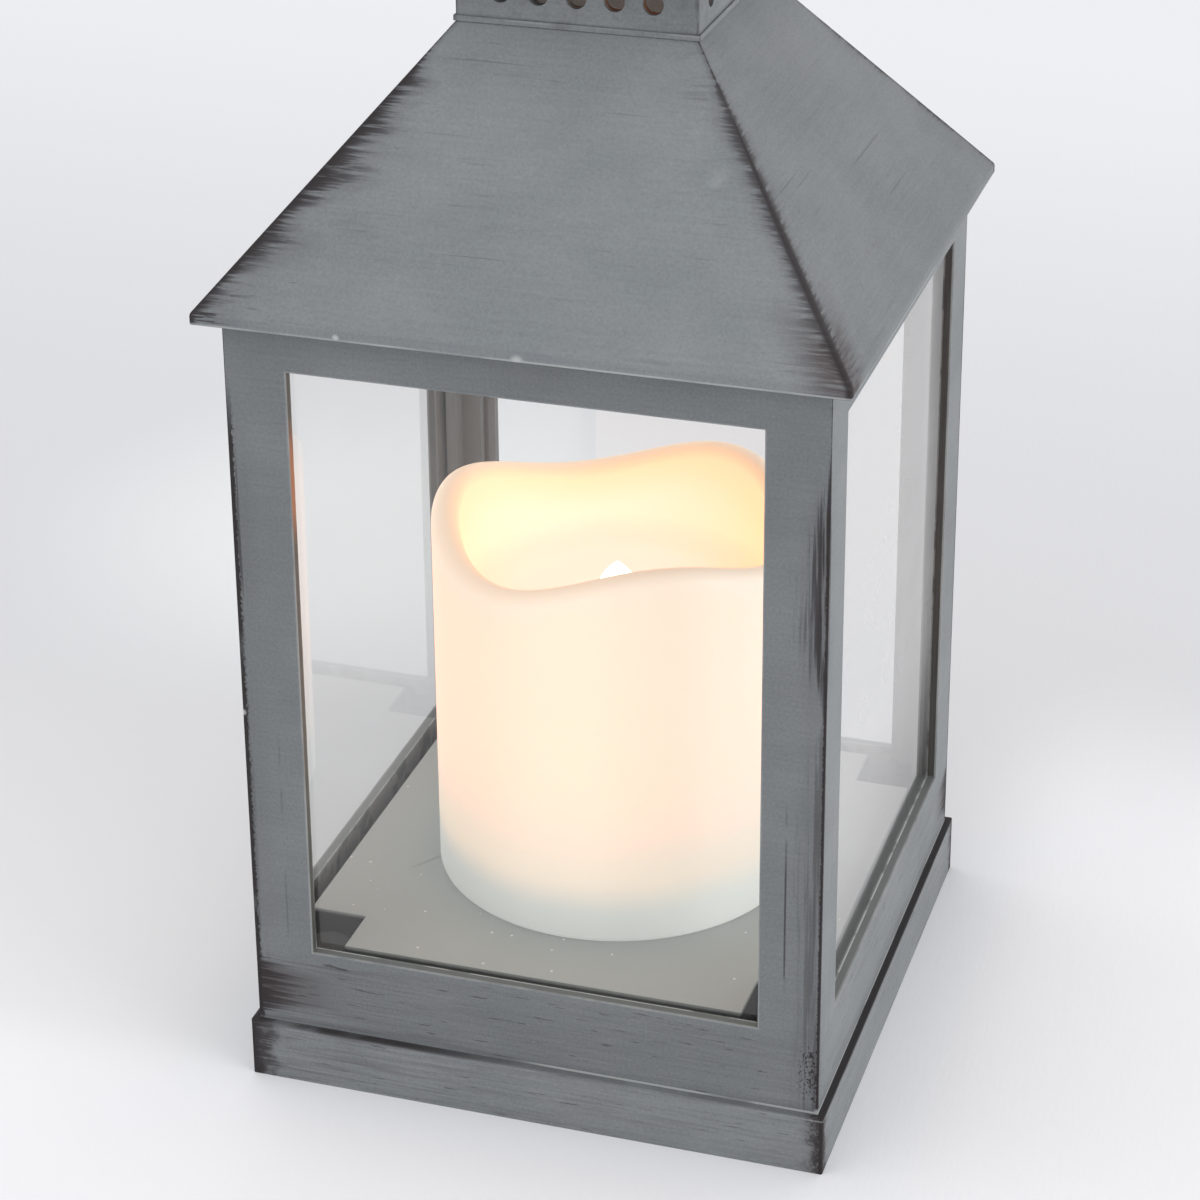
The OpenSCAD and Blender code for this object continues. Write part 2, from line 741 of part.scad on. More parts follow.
// half section of the shell at an angle, from the foot up the outside and down the recess
function shell_section(angle) = concat(
    [[candle_r, floor_z]],
    [for (a = [0 : 30 : 180]) [candle_r - rim_r + rim_r * cos(a), crest(angle) - rim_r + rim_r * sin(a)]],
    [for (a = [0 : 22.5 : 90]) [well_r - well_fillet + well_fillet * cos(a),
                                well_z + well_fillet - well_fillet * sin(a)]],
    [[wick_r, well_z], [wick_r, well_z - candle_t], [candle_r - candle_t, well_z - candle_t],
     [candle_r - candle_t, floor_z]]);

module candle_shell() {
    slices = 72;
    count = len(shell_section(0));
    points = [for (i = [0 : slices - 1]) for (p = shell_section(360 * i / slices))
        [p[0] * cos(360 * i / slices), p[0] * sin(360 * i / slices), p[1]]];
    faces = [for (i = [0 : slices - 1]) for (k = [0 : count - 1])
        let (a = i * count + k, b = i * count + (k + 1) % count,
             c = (i + 1) % slices * count + (k + 1) % count, d = (i + 1) % slices * count + k)
        each [[a, b, c], [a, c, d]]];
    color("#fdf0da") polyhedron(points, faces, convexity = 6);
}

body_frame();
pane();  // pane_front
rotate([0, 0, 180]) pane();  // pane_back
rotate([0, 0, -90]) pane();  // pane_left
rotate([0, 0, 90]) pane();  // pane_right
roof();
vent_collar();
cap();
hanger_eye();
hanger_nut();
ring_handle();
base_plinth();
base_cover();
base_screws();
battery_door();
battery(-1);  // battery_front
battery(0);  // battery_middle
battery(1);  // battery_rear
contact_springs();
contact_plates();
power_leads();
switch_body();
switch_slider();
circuit_board();
timer_chip();
board_screws();
led_leads();
candle_foot();
candle_screws();
led_stem();
led_lamp();
flame_tip();
candle_shell();
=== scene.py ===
import math

import bmesh
import bpy
from mathutils import Matrix, Vector


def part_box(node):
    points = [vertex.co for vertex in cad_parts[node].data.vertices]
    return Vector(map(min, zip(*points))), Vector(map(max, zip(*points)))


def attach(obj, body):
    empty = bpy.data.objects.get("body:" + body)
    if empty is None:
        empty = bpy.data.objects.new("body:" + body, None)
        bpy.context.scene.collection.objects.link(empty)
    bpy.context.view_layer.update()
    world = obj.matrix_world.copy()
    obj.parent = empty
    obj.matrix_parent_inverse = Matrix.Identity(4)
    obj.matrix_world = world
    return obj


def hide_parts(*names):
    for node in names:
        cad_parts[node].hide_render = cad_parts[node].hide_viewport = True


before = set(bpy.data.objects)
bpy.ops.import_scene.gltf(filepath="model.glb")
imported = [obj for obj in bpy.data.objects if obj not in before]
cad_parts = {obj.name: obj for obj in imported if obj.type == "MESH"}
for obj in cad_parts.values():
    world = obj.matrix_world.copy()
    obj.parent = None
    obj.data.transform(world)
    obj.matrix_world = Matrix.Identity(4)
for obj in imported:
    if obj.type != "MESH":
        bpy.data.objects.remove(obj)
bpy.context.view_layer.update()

MM = 0.001

# ---- levels and sizes, in millimetres, read from the frame ----

# heights and widths inside a node, which its box doesn't give
SILL_HEIGHT = 14.95
HEAD_HEIGHT = 8.0
POST_WIDTH = 10.5
LIP_HEIGHT = 1.8


def box_mm(node):
    """Lowest and highest corner of a node's box."""
    low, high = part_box(node)
    return low / MM, high / MM


BODY_LOW, BODY_HIGH = box_mm("body_frame")
CAP_LOW, CAP_HIGH = box_mm("cap")
FLAME_LOW, FLAME_HIGH = box_mm("flame_tip")
ROOF_HIGH = box_mm("roof")[1]
VENT_HIGH = box_mm("vent_collar")[1]
CANDLE_HIGH = box_mm("candle_shell")[1]

BODY_HALF = BODY_HIGH.x
EAVE_HALF = ROOF_HIGH.x
VENT_HALF = VENT_HIGH.x
CAP_HALF = CAP_HIGH.x
PANE_FACE = -box_mm("pane_front")[0].y
BODY_FOOT = BODY_LOW.z
EAVE_Z = BODY_HIGH.z
LIP_Z = EAVE_Z + LIP_HEIGHT
FLOOR_Z = box_mm("base_plinth")[1].z
SILL_Z = BODY_FOOT + SILL_HEIGHT
RAIL_TOP = BODY_FOOT + 13.5
HEAD_Z = EAVE_Z - HEAD_HEIGHT
WINDOW_HALF = BODY_HALF - POST_WIDTH
ROOF_TOP = ROOF_HIGH.z
CANDLE_R = CANDLE_HIGH.x
CANDLE_RIM = CANDLE_HIGH.z


# ---- camera: degrees of turn, tilt and roll, and the lens and shift for its sensor ----

CAMERA_AT = Vector((0.1568, -0.4977, 0.3377))
CAMERA_TURN = 17.11
CAMERA_TILT = 22.65
CAMERA_ROLL = 0.2
CAMERA_SENSOR = 36
CAMERA_LENS = 99.38
CAMERA_SHIFT = (-0.0304, -0.1965)


def add_camera():
    """Camera at the given place, looking along Y before it is turned, tilted and rolled."""
    data = bpy.data.cameras.new("camera")
    data.sensor_width = CAMERA_SENSOR
    data.lens = CAMERA_LENS
    data.shift_x, data.shift_y = CAMERA_SHIFT
    data.clip_end = 20
    camera = bpy.data.objects.new("camera", data)
    bpy.context.scene.collection.objects.link(camera)
    turn = Matrix.Rotation(math.radians(CAMERA_TURN), 4, "Z")
    tilt = Matrix.Rotation(math.radians(90 - CAMERA_TILT), 4, "X")
    roll = Matrix.Rotation(math.radians(-CAMERA_ROLL), 4, "Z")
    camera.matrix_world = Matrix.Translation(CAMERA_AT) @ turn @ tilt @ roll
    bpy.context.scene.camera = camera


# ---- node trees ----


class Shader:
    """One material's node tree, with short calls for the nodes used here. Lengths are in millimetres."""

    def __init__(self, name):
        self.material = bpy.data.materials.new(name)
        self.material.use_nodes = True
        self.tree = self.material.node_tree
        self.tree.nodes.clear()
        self.seed = 0.0
        scaled = self.node("ShaderNodeVectorMath", operation="SCALE")
        self.feed(scaled.inputs[0], self.node("ShaderNodeTexCoord").outputs["Object"])
        self.feed(scaled.inputs["Scale"], 1 / MM)
        self.place = scaled.outputs[0]
        split = self.node("ShaderNodeSeparateXYZ")
        self.feed(split.inputs[0], self.place)
        self.x, self.y, self.z = split.outputs

    def node(self, kind, **settings):
        made = self.tree.nodes.new(kind)
        for key, value in settings.items():
            setattr(made, key, value)
        return made

    def feed(self, socket, value):
        """Links a socket, or sets a constant."""
        if isinstance(value, bpy.types.NodeSocket):
            self.tree.links.new(value, socket)
        else:
            socket.default_value = value

    def math(self, operation, *values):
        made = self.node("ShaderNodeMath", operation=operation)
        for socket, value in zip(made.inputs, values):
            self.feed(socket, value)
        return made.outputs[0]

    def add(self, a, b):
        return self.math("ADD", a, b)

    def sub(self, a, b):
        return self.math("SUBTRACT", a, b)

    def mul(self, a, b):
        return self.math("MULTIPLY", a, b)

    def most(self, a, b):
        return self.math("MAXIMUM", a, b)

    def least(self, a, b):
        return self.math("MINIMUM", a, b)

    def ramp(self, value, low, high, out_low=0.0, out_high=1.0):
        """Smooth step from out_low to out_high as value goes from low to high, which may be sockets."""
        made = self.node("ShaderNodeMapRange", interpolation_type="SMOOTHSTEP")
        for key, item in zip(("Value", "From Min", "From Max", "To Min", "To Max"),
                             (value, low, high, out_low, out_high)):
            self.feed(made.inputs[key], item)
        return made.outputs[0]

    def band(self, value, low, high, soft):
        """1 between low and high, 0 outside, with soft edges."""
        rise = self.ramp(value, low - soft, low + soft)
        fall = self.ramp(value, high - soft, high + soft, 1.0, 0.0)
        return self.mul(rise, fall)

    def noise(self, per_mm, detail=2.0, roughness=0.5):
        """Noise with its own frequency along X, Y and Z, in cycles a millimetre."""
        self.seed += 17.3
        scaled = self.node("ShaderNodeVectorMath", operation="MULTIPLY_ADD")
        self.feed(scaled.inputs[0], self.place)
        self.feed(scaled.inputs[1], per_mm)
        self.feed(scaled.inputs[2], (self.seed, self.seed * 0.37, self.seed * 0.71))
        made = self.node("ShaderNodeTexNoise")
        self.feed(made.inputs["Vector"], scaled.outputs[0])
        self.feed(made.inputs["Scale"], 1.0)
        self.feed(made.inputs["Detail"], detail)
        self.feed(made.inputs["Roughness"], roughness)
        return made.outputs["Fac"]

    def specks(self, per_mm, size):
        """Small scattered dots: 1 in a dot, 0 between."""
        self.seed += 11.9
        scaled = self.node("ShaderNodeVectorMath", operation="MULTIPLY_ADD")
        self.feed(scaled.inputs[0], self.place)
        self.feed(scaled.inputs[1], (per_mm, per_mm, per_mm))
        self.feed(scaled.inputs[2], (self.seed, self.seed * 0.6, self.seed * 0.2))
        made = self.node("ShaderNodeTexVoronoi")
        self.feed(made.inputs["Vector"], scaled.outputs[0])
        self.feed(made.inputs["Scale"], 1.0)
        return self.ramp(made.outputs["Distance"], size * 0.6, size, 1.0, 0.0)

    def apart(self, at):
        """Distance from a point."""
        made = self.node("ShaderNodeVectorMath", operation="DISTANCE")
        self.feed(made.inputs[0], self.place)
        self.feed(made.inputs[1], at)
        return made.outputs["Value"]

    def spot(self, at, radius):
        """1 round a point, falling to 0 at a radius from it."""
        return self.ramp(self.apart(at), 0.2 * radius, radius, 1.0, 0.0)

    def mix(self, share, a, b):
        """Colour between a and b."""
        made = self.node("ShaderNodeMix", data_type="RGBA")
        self.feed(made.inputs["Factor"], share)
        for socket, value in zip(made.inputs[6:8], (a, b)):
            self.feed(socket, (*value, 1) if isinstance(value, tuple) else value)
        return made.outputs[2]

    def scale(self, color, factor):
        made = self.node("ShaderNodeVectorMath", operation="SCALE")
        self.feed(made.inputs[0], color)
        self.feed(made.inputs["Scale"], factor)
        return made.outputs[0]

    def blend(self, share, a, b):
        """Number between a and b."""
        made = self.node("ShaderNodeMix", data_type="FLOAT")
        self.feed(made.inputs["Factor"], share)
        self.feed(made.inputs[2], a)
        self.feed(made.inputs[3], b)
        return made.outputs[0]

    def bump(self, height, depth, normal=None):
        """Normal of a relief: height from 0 to 1 stands for depth millimetres."""
        made = self.node("ShaderNodeBump")
        self.feed(made.inputs["Height"], height)
        self.feed(made.inputs["Strength"], 1.0)
        self.feed(made.inputs["Distance"], depth * MM)
        if normal:
            self.feed(made.inputs["Normal"], normal)
        return made.outputs[0]

    def finish(self, shader):
        out = self.node("ShaderNodeOutputMaterial")
        self.feed(out.inputs["Surface"], shader)
        return self.material

    def principled(self, color, roughness, normal=None, **constants):
        made = self.node("ShaderNodeBsdfPrincipled")
        self.feed(made.inputs["Base Color"], (*color, 1) if isinstance(color, tuple) else color)
        self.feed(made.inputs["Roughness"], roughness)
        if normal:
            self.feed(made.inputs["Normal"], normal)
        for key, value in constants.items():
            made.inputs[key.replace("_", " ")].default_value = value
        return made


# ---- colours, linear ----

# top coat, and the painted shade that darkens it on the front and back and on the sides of the body
PAINT = (0.210, 0.224, 0.231)
PAINT_COOL = (0.190, 0.206, 0.215)
PAINT_WARM = (0.215, 0.215, 0.211)
BODY_PAINTED_SHADE = 0.84
SIDE_PAINTED_SHADE = 0.95
# undercoat, thick and thin, and paint worn through to the pale plastic; the thick undercoat also gives the
# painted shadow under the eave and painted shade on the far right jamb, and the pale colour also gives
# painted highlights along seams and where the panes seat
UMBER = (0.018, 0.013, 0.014)
UMBER_THIN = (0.075, 0.062, 0.064)
PALE_WEAR_AND_HIGHLIGHT = (0.46, 0.48, 0.47)
# unpainted plastic, by place, with what lies on it; the reveal colour is darkened as painted shade, the
# hollow colour is painted shade, and the caught glow is painted candle light
BARE_REVEAL_PAINTED_SHADE = (0.070, 0.073, 0.068)
BARE_INNER = (0.150, 0.160, 0.158)
BARE_SILL = (0.118, 0.132, 0.130)
DUST = (0.85, 0.85, 0.82)
BARE_FLOOR = (0.385, 0.404, 0.386)
HOLLOW_PAINTED_SHADE = (0.04, 0.042, 0.04)
GLOW_CAUGHT = (0.36, 0.145, 0.07)


# ---- painted housing ----

# single marks, in millimetres: the smear's heights on the near post, and spots as place and radius
SMEAR_LOW = 90
SMEAR_HIGH = 122
CORNER_BEAD = ((BODY_HALF, -BODY_HALF, BODY_FOOT + 0.2), 1.2)
POST_CHIP = ((-BODY_HALF, -BODY_HALF, 71), 0.8)
LIP_NICKS = ((0.9, -EAVE_HALF, EAVE_Z + 0.2), 1.5), ((-29, -EAVE_HALF, EAVE_Z + 0.7), 0.8)
ROOF_SMUDGES = ((24, -30, 172), 3.5), ((27, -34, 168), 2.5)


def side_lead(s):
    """How much further out a point lies sideways than to the front or back."""
    return s.sub(s.math("ABSOLUTE", s.x), s.math("ABSOLUTE", s.y))


def hip_distance(s):
    """Horizontal distance on a square plan from the nearest hip or upright corner."""
    return s.math("ABSOLUTE", side_lead(s))


def plan_distance(s):
    """Half width of the square, centred on the axis, that a point lies on."""
    return s.most(s.math("ABSOLUTE", s.x), s.math("ABSOLUTE", s.y))


def by_corner(s, front_left, front_right, back_left, back_right):
    """A number for each quarter of the plan."""
    right = s.ramp(s.x, -0.5, 0.5)
    back = s.ramp(s.y, -0.5, 0.5)
    front = s.blend(right, front_left, front_right)
    rear = s.blend(right, back_left, back_right)
    return s.blend(back, front, rear)


def on_sides(s):
    """1 on the left and right faces, 0 on the front and back ones."""
    return s.ramp(side_lead(s), -0.15, 0.15)


def strokes(s, distance, reach, grain, solid=0.34, bare=0.66, faint=0.15):
    """Dry brush strokes: solid at an edge, thinning and breaking up along the grain until reach."""
    soft = 0.09
    share = s.math("DIVIDE", distance, reach)
    limit = s.add(solid, s.mul(share, bare - solid))
    broken = s.ramp(grain, s.sub(limit, soft), s.add(limit, soft))
    return s.mul(s.mul(broken, s.ramp(share, 0.0, 1.15, 1.0, faint)), s.ramp(share, 0.9, 1.3, 1.0, 0.0))


def paint_color(s, painted_shade=1.0, line_depth=0.3):
    """The blue-grey top coat: cloudy, finely speckled and faintly brushed, darkened by a painted shade
    factor.
    """
    clouds = s.noise((0.05, 0.05, 0.07), detail=3)
    warm = s.ramp(s.noise((0.02, 0.02, 0.05), detail=2), 0.5, 0.75)
    color = s.mix(s.ramp(clouds, 0.3, 0.7), PAINT_COOL, PAINT)
    color = s.mix(s.mul(warm, 0.35), color, PAINT_WARM)
    speckle = s.noise((2.0, 2.0, 2.0), detail=1, roughness=0.7)
    brushed = s.noise((0.07, 0.07, 2.2), detail=3, roughness=0.6)
    factor = s.add(painted_shade, s.mul(s.sub(speckle, 0.5), 0.38))
    factor = s.add(factor, s.mul(s.sub(brushed, 0.5), line_depth))
    factor = s.add(factor, s.mul(s.sub(clouds, 0.5), 0.16))
    return s.scale(color, factor)


def paint_finish(s, color, film, dark, wear_and_highlights, grain, roughness=0.5, grain_depth=0.02):
    """Top coat under a thin brown film, dark brushed edges and painted shade, and light worn edges and
    painted highlights, with a brushed relief.
    """
    color = s.mix(film, color, UMBER_THIN)
    color = s.mix(s.mul(dark, 0.95), color, UMBER)
    color = s.mix(s.mul(wear_and_highlights, 0.85), color, PALE_WEAR_AND_HIGHLIGHT)
    fine = s.noise((2.2, 2.2, 2.2), detail=2)
    rough = s.add(s.blend(dark, roughness, 0.72), s.mul(s.sub(fine, 0.5), 0.14))
    normal = s.bump(grain, grain_depth)
    normal = s.bump(fine, 0.012, normal)
    shader = s.principled(color, rough, normal, Specular_IOR_Level=0.32)
    return s.finish(shader.outputs[0])


def hip_reach(s, strength):
    """How far the brush strokes reach from the roof's hips."""
    height = s.mul(s.ramp(s.z, ROOF_TOP - 3, ROOF_TOP - 13), s.ramp(s.z, EAVE_Z + 2, EAVE_Z + 9, 0.6, 1.0))
    least_reach = by_corner(s, 0.3, 0.75, 0.3, 0.4)
    uneven = s.ramp(s.noise((0.03, 0.03, 0.17), detail=3), 0.32, 0.68, least_reach, 1.25)
    return s.add(0.35, s.mul(s.mul(s.mul(strength, height), uneven), 8.5))


def roof_dark(s, edge, reach, strength, grain, fine, blots):
    """Undercoat along the hips: strokes, a firm line, and patches, flecks and scratches further out."""
    brushed = strokes(s, edge, reach, grain, solid=0.37, bare=0.63)
    brushed = s.mul(brushed, by_corner(s, 1.0, 0.8, 1.0, 0.8))
    firm = by_corner(s, 0.6, 1.3, 0.6, 0.5)
    line_width = s.add(0.3, s.mul(firm, s.ramp(s.z, ROOF_TOP - 6, EAVE_Z + 16, 0.0, 1.0)))
    line = s.ramp(edge, s.mul(line_width, 0.35), line_width, 1.0, 0.0)
    line = s.mul(line, s.ramp(s.z, ROOF_TOP - 11, ROOF_TOP - 4, 0.95, 0.1))
    # black patches and dashes towards the eave corners
    tips = s.mul(s.ramp(edge, 1.5, 10, 1.0, 0.0), s.ramp(s.z, EAVE_Z + 0.5, EAVE_Z + 9, 1.0, 0.25))
    tips = s.mul(s.mul(tips, strength), s.ramp(s.add(fine, s.mul(s.sub(blots, 0.5), 0.7)), 0.56, 0.66))
    flecks = s.mul(s.ramp(fine, 0.68, 0.74), s.ramp(edge, 8, 28, 0.55, 0.0))
    scratches = s.ramp(s.noise((0.022, 0.022, 2.1), detail=2, roughness=0.45), 0.70, 0.76, 0.0, 0.3)
    corner = s.mul(s.ramp(edge, 0.6, 1.5, 0.9, 0.0), s.ramp(s.z, EAVE_Z + 2.5, EAVE_Z + 1.2))
    dark = s.most(s.most(brushed, s.mul(line, 0.95)), s.most(tips, s.mul(flecks, strength)))
    return s.most(s.most(dark, scratches), corner)


def roof_film(s, edge, reach, grain, level, blots):
    """Thin brown film beside the strokes, near the eave corners and in scuffs."""
    halo_reach = s.add(0.8, s.mul(reach, 1.35))
    halo = s.mul(s.ramp(edge, 0.0, halo_reach, 0.66, 0.0), s.ramp(grain, 0.3, 0.62, 0.4, 1.0))
    foot = s.mul(s.ramp(s.z, EAVE_Z + 15, EAVE_Z + 5, 0.0, 1.0), s.ramp(edge, 2.0, 11, 1.0, 0.0))
    foot = s.mul(s.mul(foot, by_corner(s, 0.25, 1.0, 0.3, 0.15)), s.ramp(grain, 0.35, 0.6, 0.45, 1.0))
    scuffs = s.mul(s.ramp(level, 0.56, 0.8, 0.0, 0.45), s.ramp(blots, 0.4, 0.65))
    return s.most(s.most(halo, foot), scuffs)


def roof_worn(s, blots):
    """Paint worn off the eave's lip, nicks in it and a smudge on the front slope."""
    outer = s.ramp(plan_distance(s), EAVE_HALF - 0.5, EAVE_HALF - 0.25)
    patchy = s.ramp(s.noise((0.07, 0.07, 0.3), detail=3), 0.40, 0.60, 0.3, 1.0)
    lip = s.mul(s.mul(s.band(s.z, EAVE_Z + 0.1, EAVE_Z + 0.45, 0.12), outer), s.mul(patchy, 0.75))
    nick = s.most(*(s.spot(at, radius) for at, radius in LIP_NICKS))
    smudge = s.most(*(s.spot(at, radius) for at, radius in ROOF_SMUDGES))
    smudge = s.mul(smudge, s.ramp(blots, 0.42, 0.6, 0.05, 0.28))
    return s.most(s.most(lip, nick), smudge)


def roof_paint():
    """Painted slopes, the right one darker as painted shade and all darker towards the left, with bare
    plastic on their inner side.
    """
    s = Shader("roof_paint")
    edge = hip_distance(s)
    level = s.noise((0.07, 0.07, 1.5), detail=4, roughness=0.65)
    fine = s.noise((0.16, 0.16, 2.6), detail=3, roughness=0.6)
    blots = s.noise((0.12, 0.12, 0.12), detail=3)
    grain = s.blend(0.55, level, fine)
    # the front left hip has wide strokes and the near one a firm line with short strokes
    strength = by_corner(s, 1.0, 0.40, 0.85, 0.2)
    reach = hip_reach(s, strength)
    dark = roof_dark(s, edge, reach, strength, grain, fine, blots)
    film = roof_film(s, edge, reach, grain, level, blots)
    wear_and_highlights = roof_worn(s, blots)
    slope = (EAVE_HALF - VENT_HALF) / (ROOF_TOP - LIP_Z)
    outline = s.least(s.add(EAVE_HALF, s.mul(s.sub(LIP_Z, s.z), slope)), EAVE_HALF)
    painted = s.ramp(s.sub(outline, plan_distance(s)), 0.8, 1.6, 1.0, 0.0)
    # painted shade: the right slope darker, and the whole roof darker towards the left
    right_slope = s.mul(on_sides(s), s.ramp(s.x, 0, 1))
    painted_shade = s.mul(s.ramp(s.x, -45, 15, 0.95, 1.02), s.blend(right_slope, 1.0, 0.77))
    color = s.mix(painted, BARE_INNER, paint_color(s, painted_shade, line_depth=0.2))
    dark = s.mul(dark, painted)
    film = s.mul(film, painted)
    return paint_finish(s, color, film, dark, wear_and_highlights, level, roughness=0.46, grain_depth=0.03)


def collar_paint():
    """Painted outside, a little darker as painted shade, with a painted highlight along its foot; inside
    bare plastic with the candle's glow painted on.
    """
    s = Shader("collar_paint")
    edge = hip_distance(s)
    upright = s.noise((1.2, 1.2, 0.15), detail=3)
    blots = s.noise((0.5, 0.5, 0.5), detail=2)
    outside = s.ramp(plan_distance(s), VENT_HALF - 1.3, VENT_HALF - 0.7)
    dark = s.mul(strokes(s, edge, 0.9, upright), 0.5)
    under_cap = s.band(s.z, VENT_HIGH.z - 1.5, VENT_HIGH.z + 0.5, 0.8)
    dark = s.mul(s.most(dark, s.mul(under_cap, s.ramp(blots, 0.4, 0.7))), outside)
    # painted highlight along the bead at the collar's foot
    seam_highlight = s.band(s.z, ROOF_TOP + 0.55, ROOF_TOP + 0.8, 0.12)
    wear_and_highlights = s.mul(seam_highlight, s.ramp(s.noise((0.12, 0.12, 0.3)), 0.5, 0.65, 0.0, 0.25))
    film = s.mul(s.ramp(blots, 0.5, 0.8), 0.3)
    # painted candle glow inside the collar, brighter towards the right
    caught = s.mul(s.ramp(s.x, -12, 14), s.ramp(blots, 0.3, 0.6, 0.5, 1.0))
    # painted shade: the collar's coat a tenth darker
    color = s.mix(outside, s.mix(caught, BARE_INNER, GLOW_CAUGHT), paint_color(s, 0.9))
    return paint_finish(s, color, film, dark, wear_and_highlights, blots, roughness=0.5, grain_depth=0.02)


def cap_paint():
    """Painted like the roof, with shorter strokes."""
    s = Shader("cap_paint")
    edge = hip_distance(s)
    level = s.noise((0.08, 0.08, 1.4), detail=4, roughness=0.65)
    fine = s.noise((0.16, 0.16, 2.6), detail=3, roughness=0.6)
    strength = by_corner(s, 1.0, 0.6, 0.8, 0.5)
    reach = s.add(0.6, s.mul(strength, s.ramp(s.z, CAP_HIGH.z - 2, CAP_LOW.z + 12, 1.0, 5.5)))
    dark = strokes(s, edge, reach, s.blend(0.5, level, fine))
    dark = s.most(dark, s.ramp(edge, 0.3, 0.9, 0.9, 0.0))
    halo = s.ramp(edge, 0.0, s.mul(reach, 1.4), 0.6, 0.0)
    film = s.most(halo, s.ramp(level, 0.56, 0.8, 0.0, 0.4))
    outer = s.ramp(plan_distance(s), CAP_HALF - 0.5, CAP_HALF - 0.25)
    wear_and_highlights = s.mul(outer, s.ramp(s.noise((0.15, 0.15, 0.8), detail=3), 0.5, 0.68, 0.0, 0.8))
    return paint_finish(s, paint_color(s), film, dark, wear_and_highlights, level, roughness=0.46, grain_depth=0.035)


def corner_line(s, edge, blots, flakes):
    """Firm dark line down every corner, from a little under the eave."""
    start = s.ramp(s.z, EAVE_Z - 8, EAVE_Z - 22)
    width = s.mul(s.add(0.45, s.mul(s.sub(flakes, 0.4), 1.1)), by_corner(s, 1.85, 1.0, 1.2, 0.9))
    line = s.mul(s.ramp(edge, s.mul(width, 0.6), width, 1.0, 0.0), start)
    return s.mul(line, s.ramp(blots, 0.3, 0.42, 0.5, 1.0))


def corner_flakes(s, edge, near_corner, flakes):
    """Flaked paint near the foot of the corners."""
    foot = s.mul(s.band(s.z, BODY_FOOT + 3, BODY_FOOT + 13, 3), s.ramp(edge, 0.3, 4.8, 1.0, 0.0))
    crackle = s.ramp(s.add(flakes, s.mul(foot, 0.13)), 0.60, 0.67)
    return s.mul(crackle, s.mul(s.ramp(foot, 0.05, 0.3), near_corner))


def post_scratch(s, edge, near_corner, blots):
    """Long upright scratch in the lower part of the near post."""
    scratch = s.mul(s.band(edge, 6.0, 6.3, 0.12), s.ramp(blots, 0.42, 0.52))
    return s.mul(scratch, s.mul(s.ramp(s.z, 70, 62), s.mul(near_corner, s.ramp(s.z, 18, 24))))


def rail_dashes(s):
    """Short dark dashes along the lower rails."""
    dashes = s.noise((0.17, 0.17, 2.4), detail=2, roughness=0.4)
    return s.mul(s.ramp(dashes, 0.69, 0.73), s.ramp(s.z, RAIL_TOP + 1, RAIL_TOP, 0.0, 0.6))


def body_marks(s, upright, level, blots, flakes):
    """Undercoat, and the thin brown film beside it, on the posts and rails, and a painted shadow just
    under the eave.
    """
    edge = hip_distance(s)
    # brushed smear on the front of the near corner, widest at two thirds of the height
    near_corner = s.mul(by_corner(s, 0.35, 1.0, 0.5, 0.4), s.blend(on_sides(s), 1.0, 0.25))
    smear_top = s.mul(s.band(s.z, SMEAR_LOW, SMEAR_HIGH, 9), near_corner)
    low_down = s.mul(s.ramp(s.z, 96, 60), near_corner)
    smear = strokes(s, edge, s.add(0.2, s.mul(smear_top, 5.6)), upright, solid=0.38, bare=0.66)
    streak = strokes(s, edge, s.add(0.2, s.mul(low_down, 5.6)), upright, solid=0.42, bare=0.64, faint=0.2)
    # the left end of the front rail, brushed along the rail
    end_height = s.band(s.z, BODY_FOOT + 2.5, BODY_FOOT + 11.5, 2.2)
    end_reach = s.add(0.2, s.mul(end_height, by_corner(s, 12.0, 0.2, 6.0, 7.0)))
    rail_end = strokes(s, edge, end_reach, level, solid=0.36, bare=0.62)
    crackle = corner_flakes(s, edge, near_corner, flakes)
    dark = s.most(corner_line(s, edge, blots, flakes), s.mul(smear, 0.95))
    dark = s.most(dark, s.most(s.mul(streak, 0.4), crackle))
    dark = s.most(dark, s.most(s.mul(post_scratch(s, edge, near_corner, blots), 0.8), rail_dashes(s)))
    # painted shadow: a dark band on the body just under the eave, in the undercoat's colour
    under_eave_painted_shadow = s.ramp(s.z, EAVE_Z - 1.7, EAVE_Z - 0.2, 0.0, 0.5)
    dark = s.most(s.most(dark, under_eave_painted_shadow), s.mul(rail_end, 0.95))
    rail = s.ramp(s.z, RAIL_TOP + 1, RAIL_TOP - 1)
    browner = s.ramp(s.x, 5, -45, 0.22, 0.5)
    grooves = s.mul(rail, s.mul(s.ramp(level, 0.42, 0.68), browner))
    beside = s.mul(s.ramp(edge, 0.5, 5.5, 1.0, 0.0), s.most(smear_top, s.mul(low_down, 0.65)))
    beside = s.mul(beside, s.ramp(upright, 0.30, 0.66, 0.35, 0.7))
    end_film = s.mul(s.ramp(edge, 0.0, s.mul(end_reach, 1.8), 0.85, 0.0), end_height)
    return dark, s.most(s.most(grooves, beside), end_film)


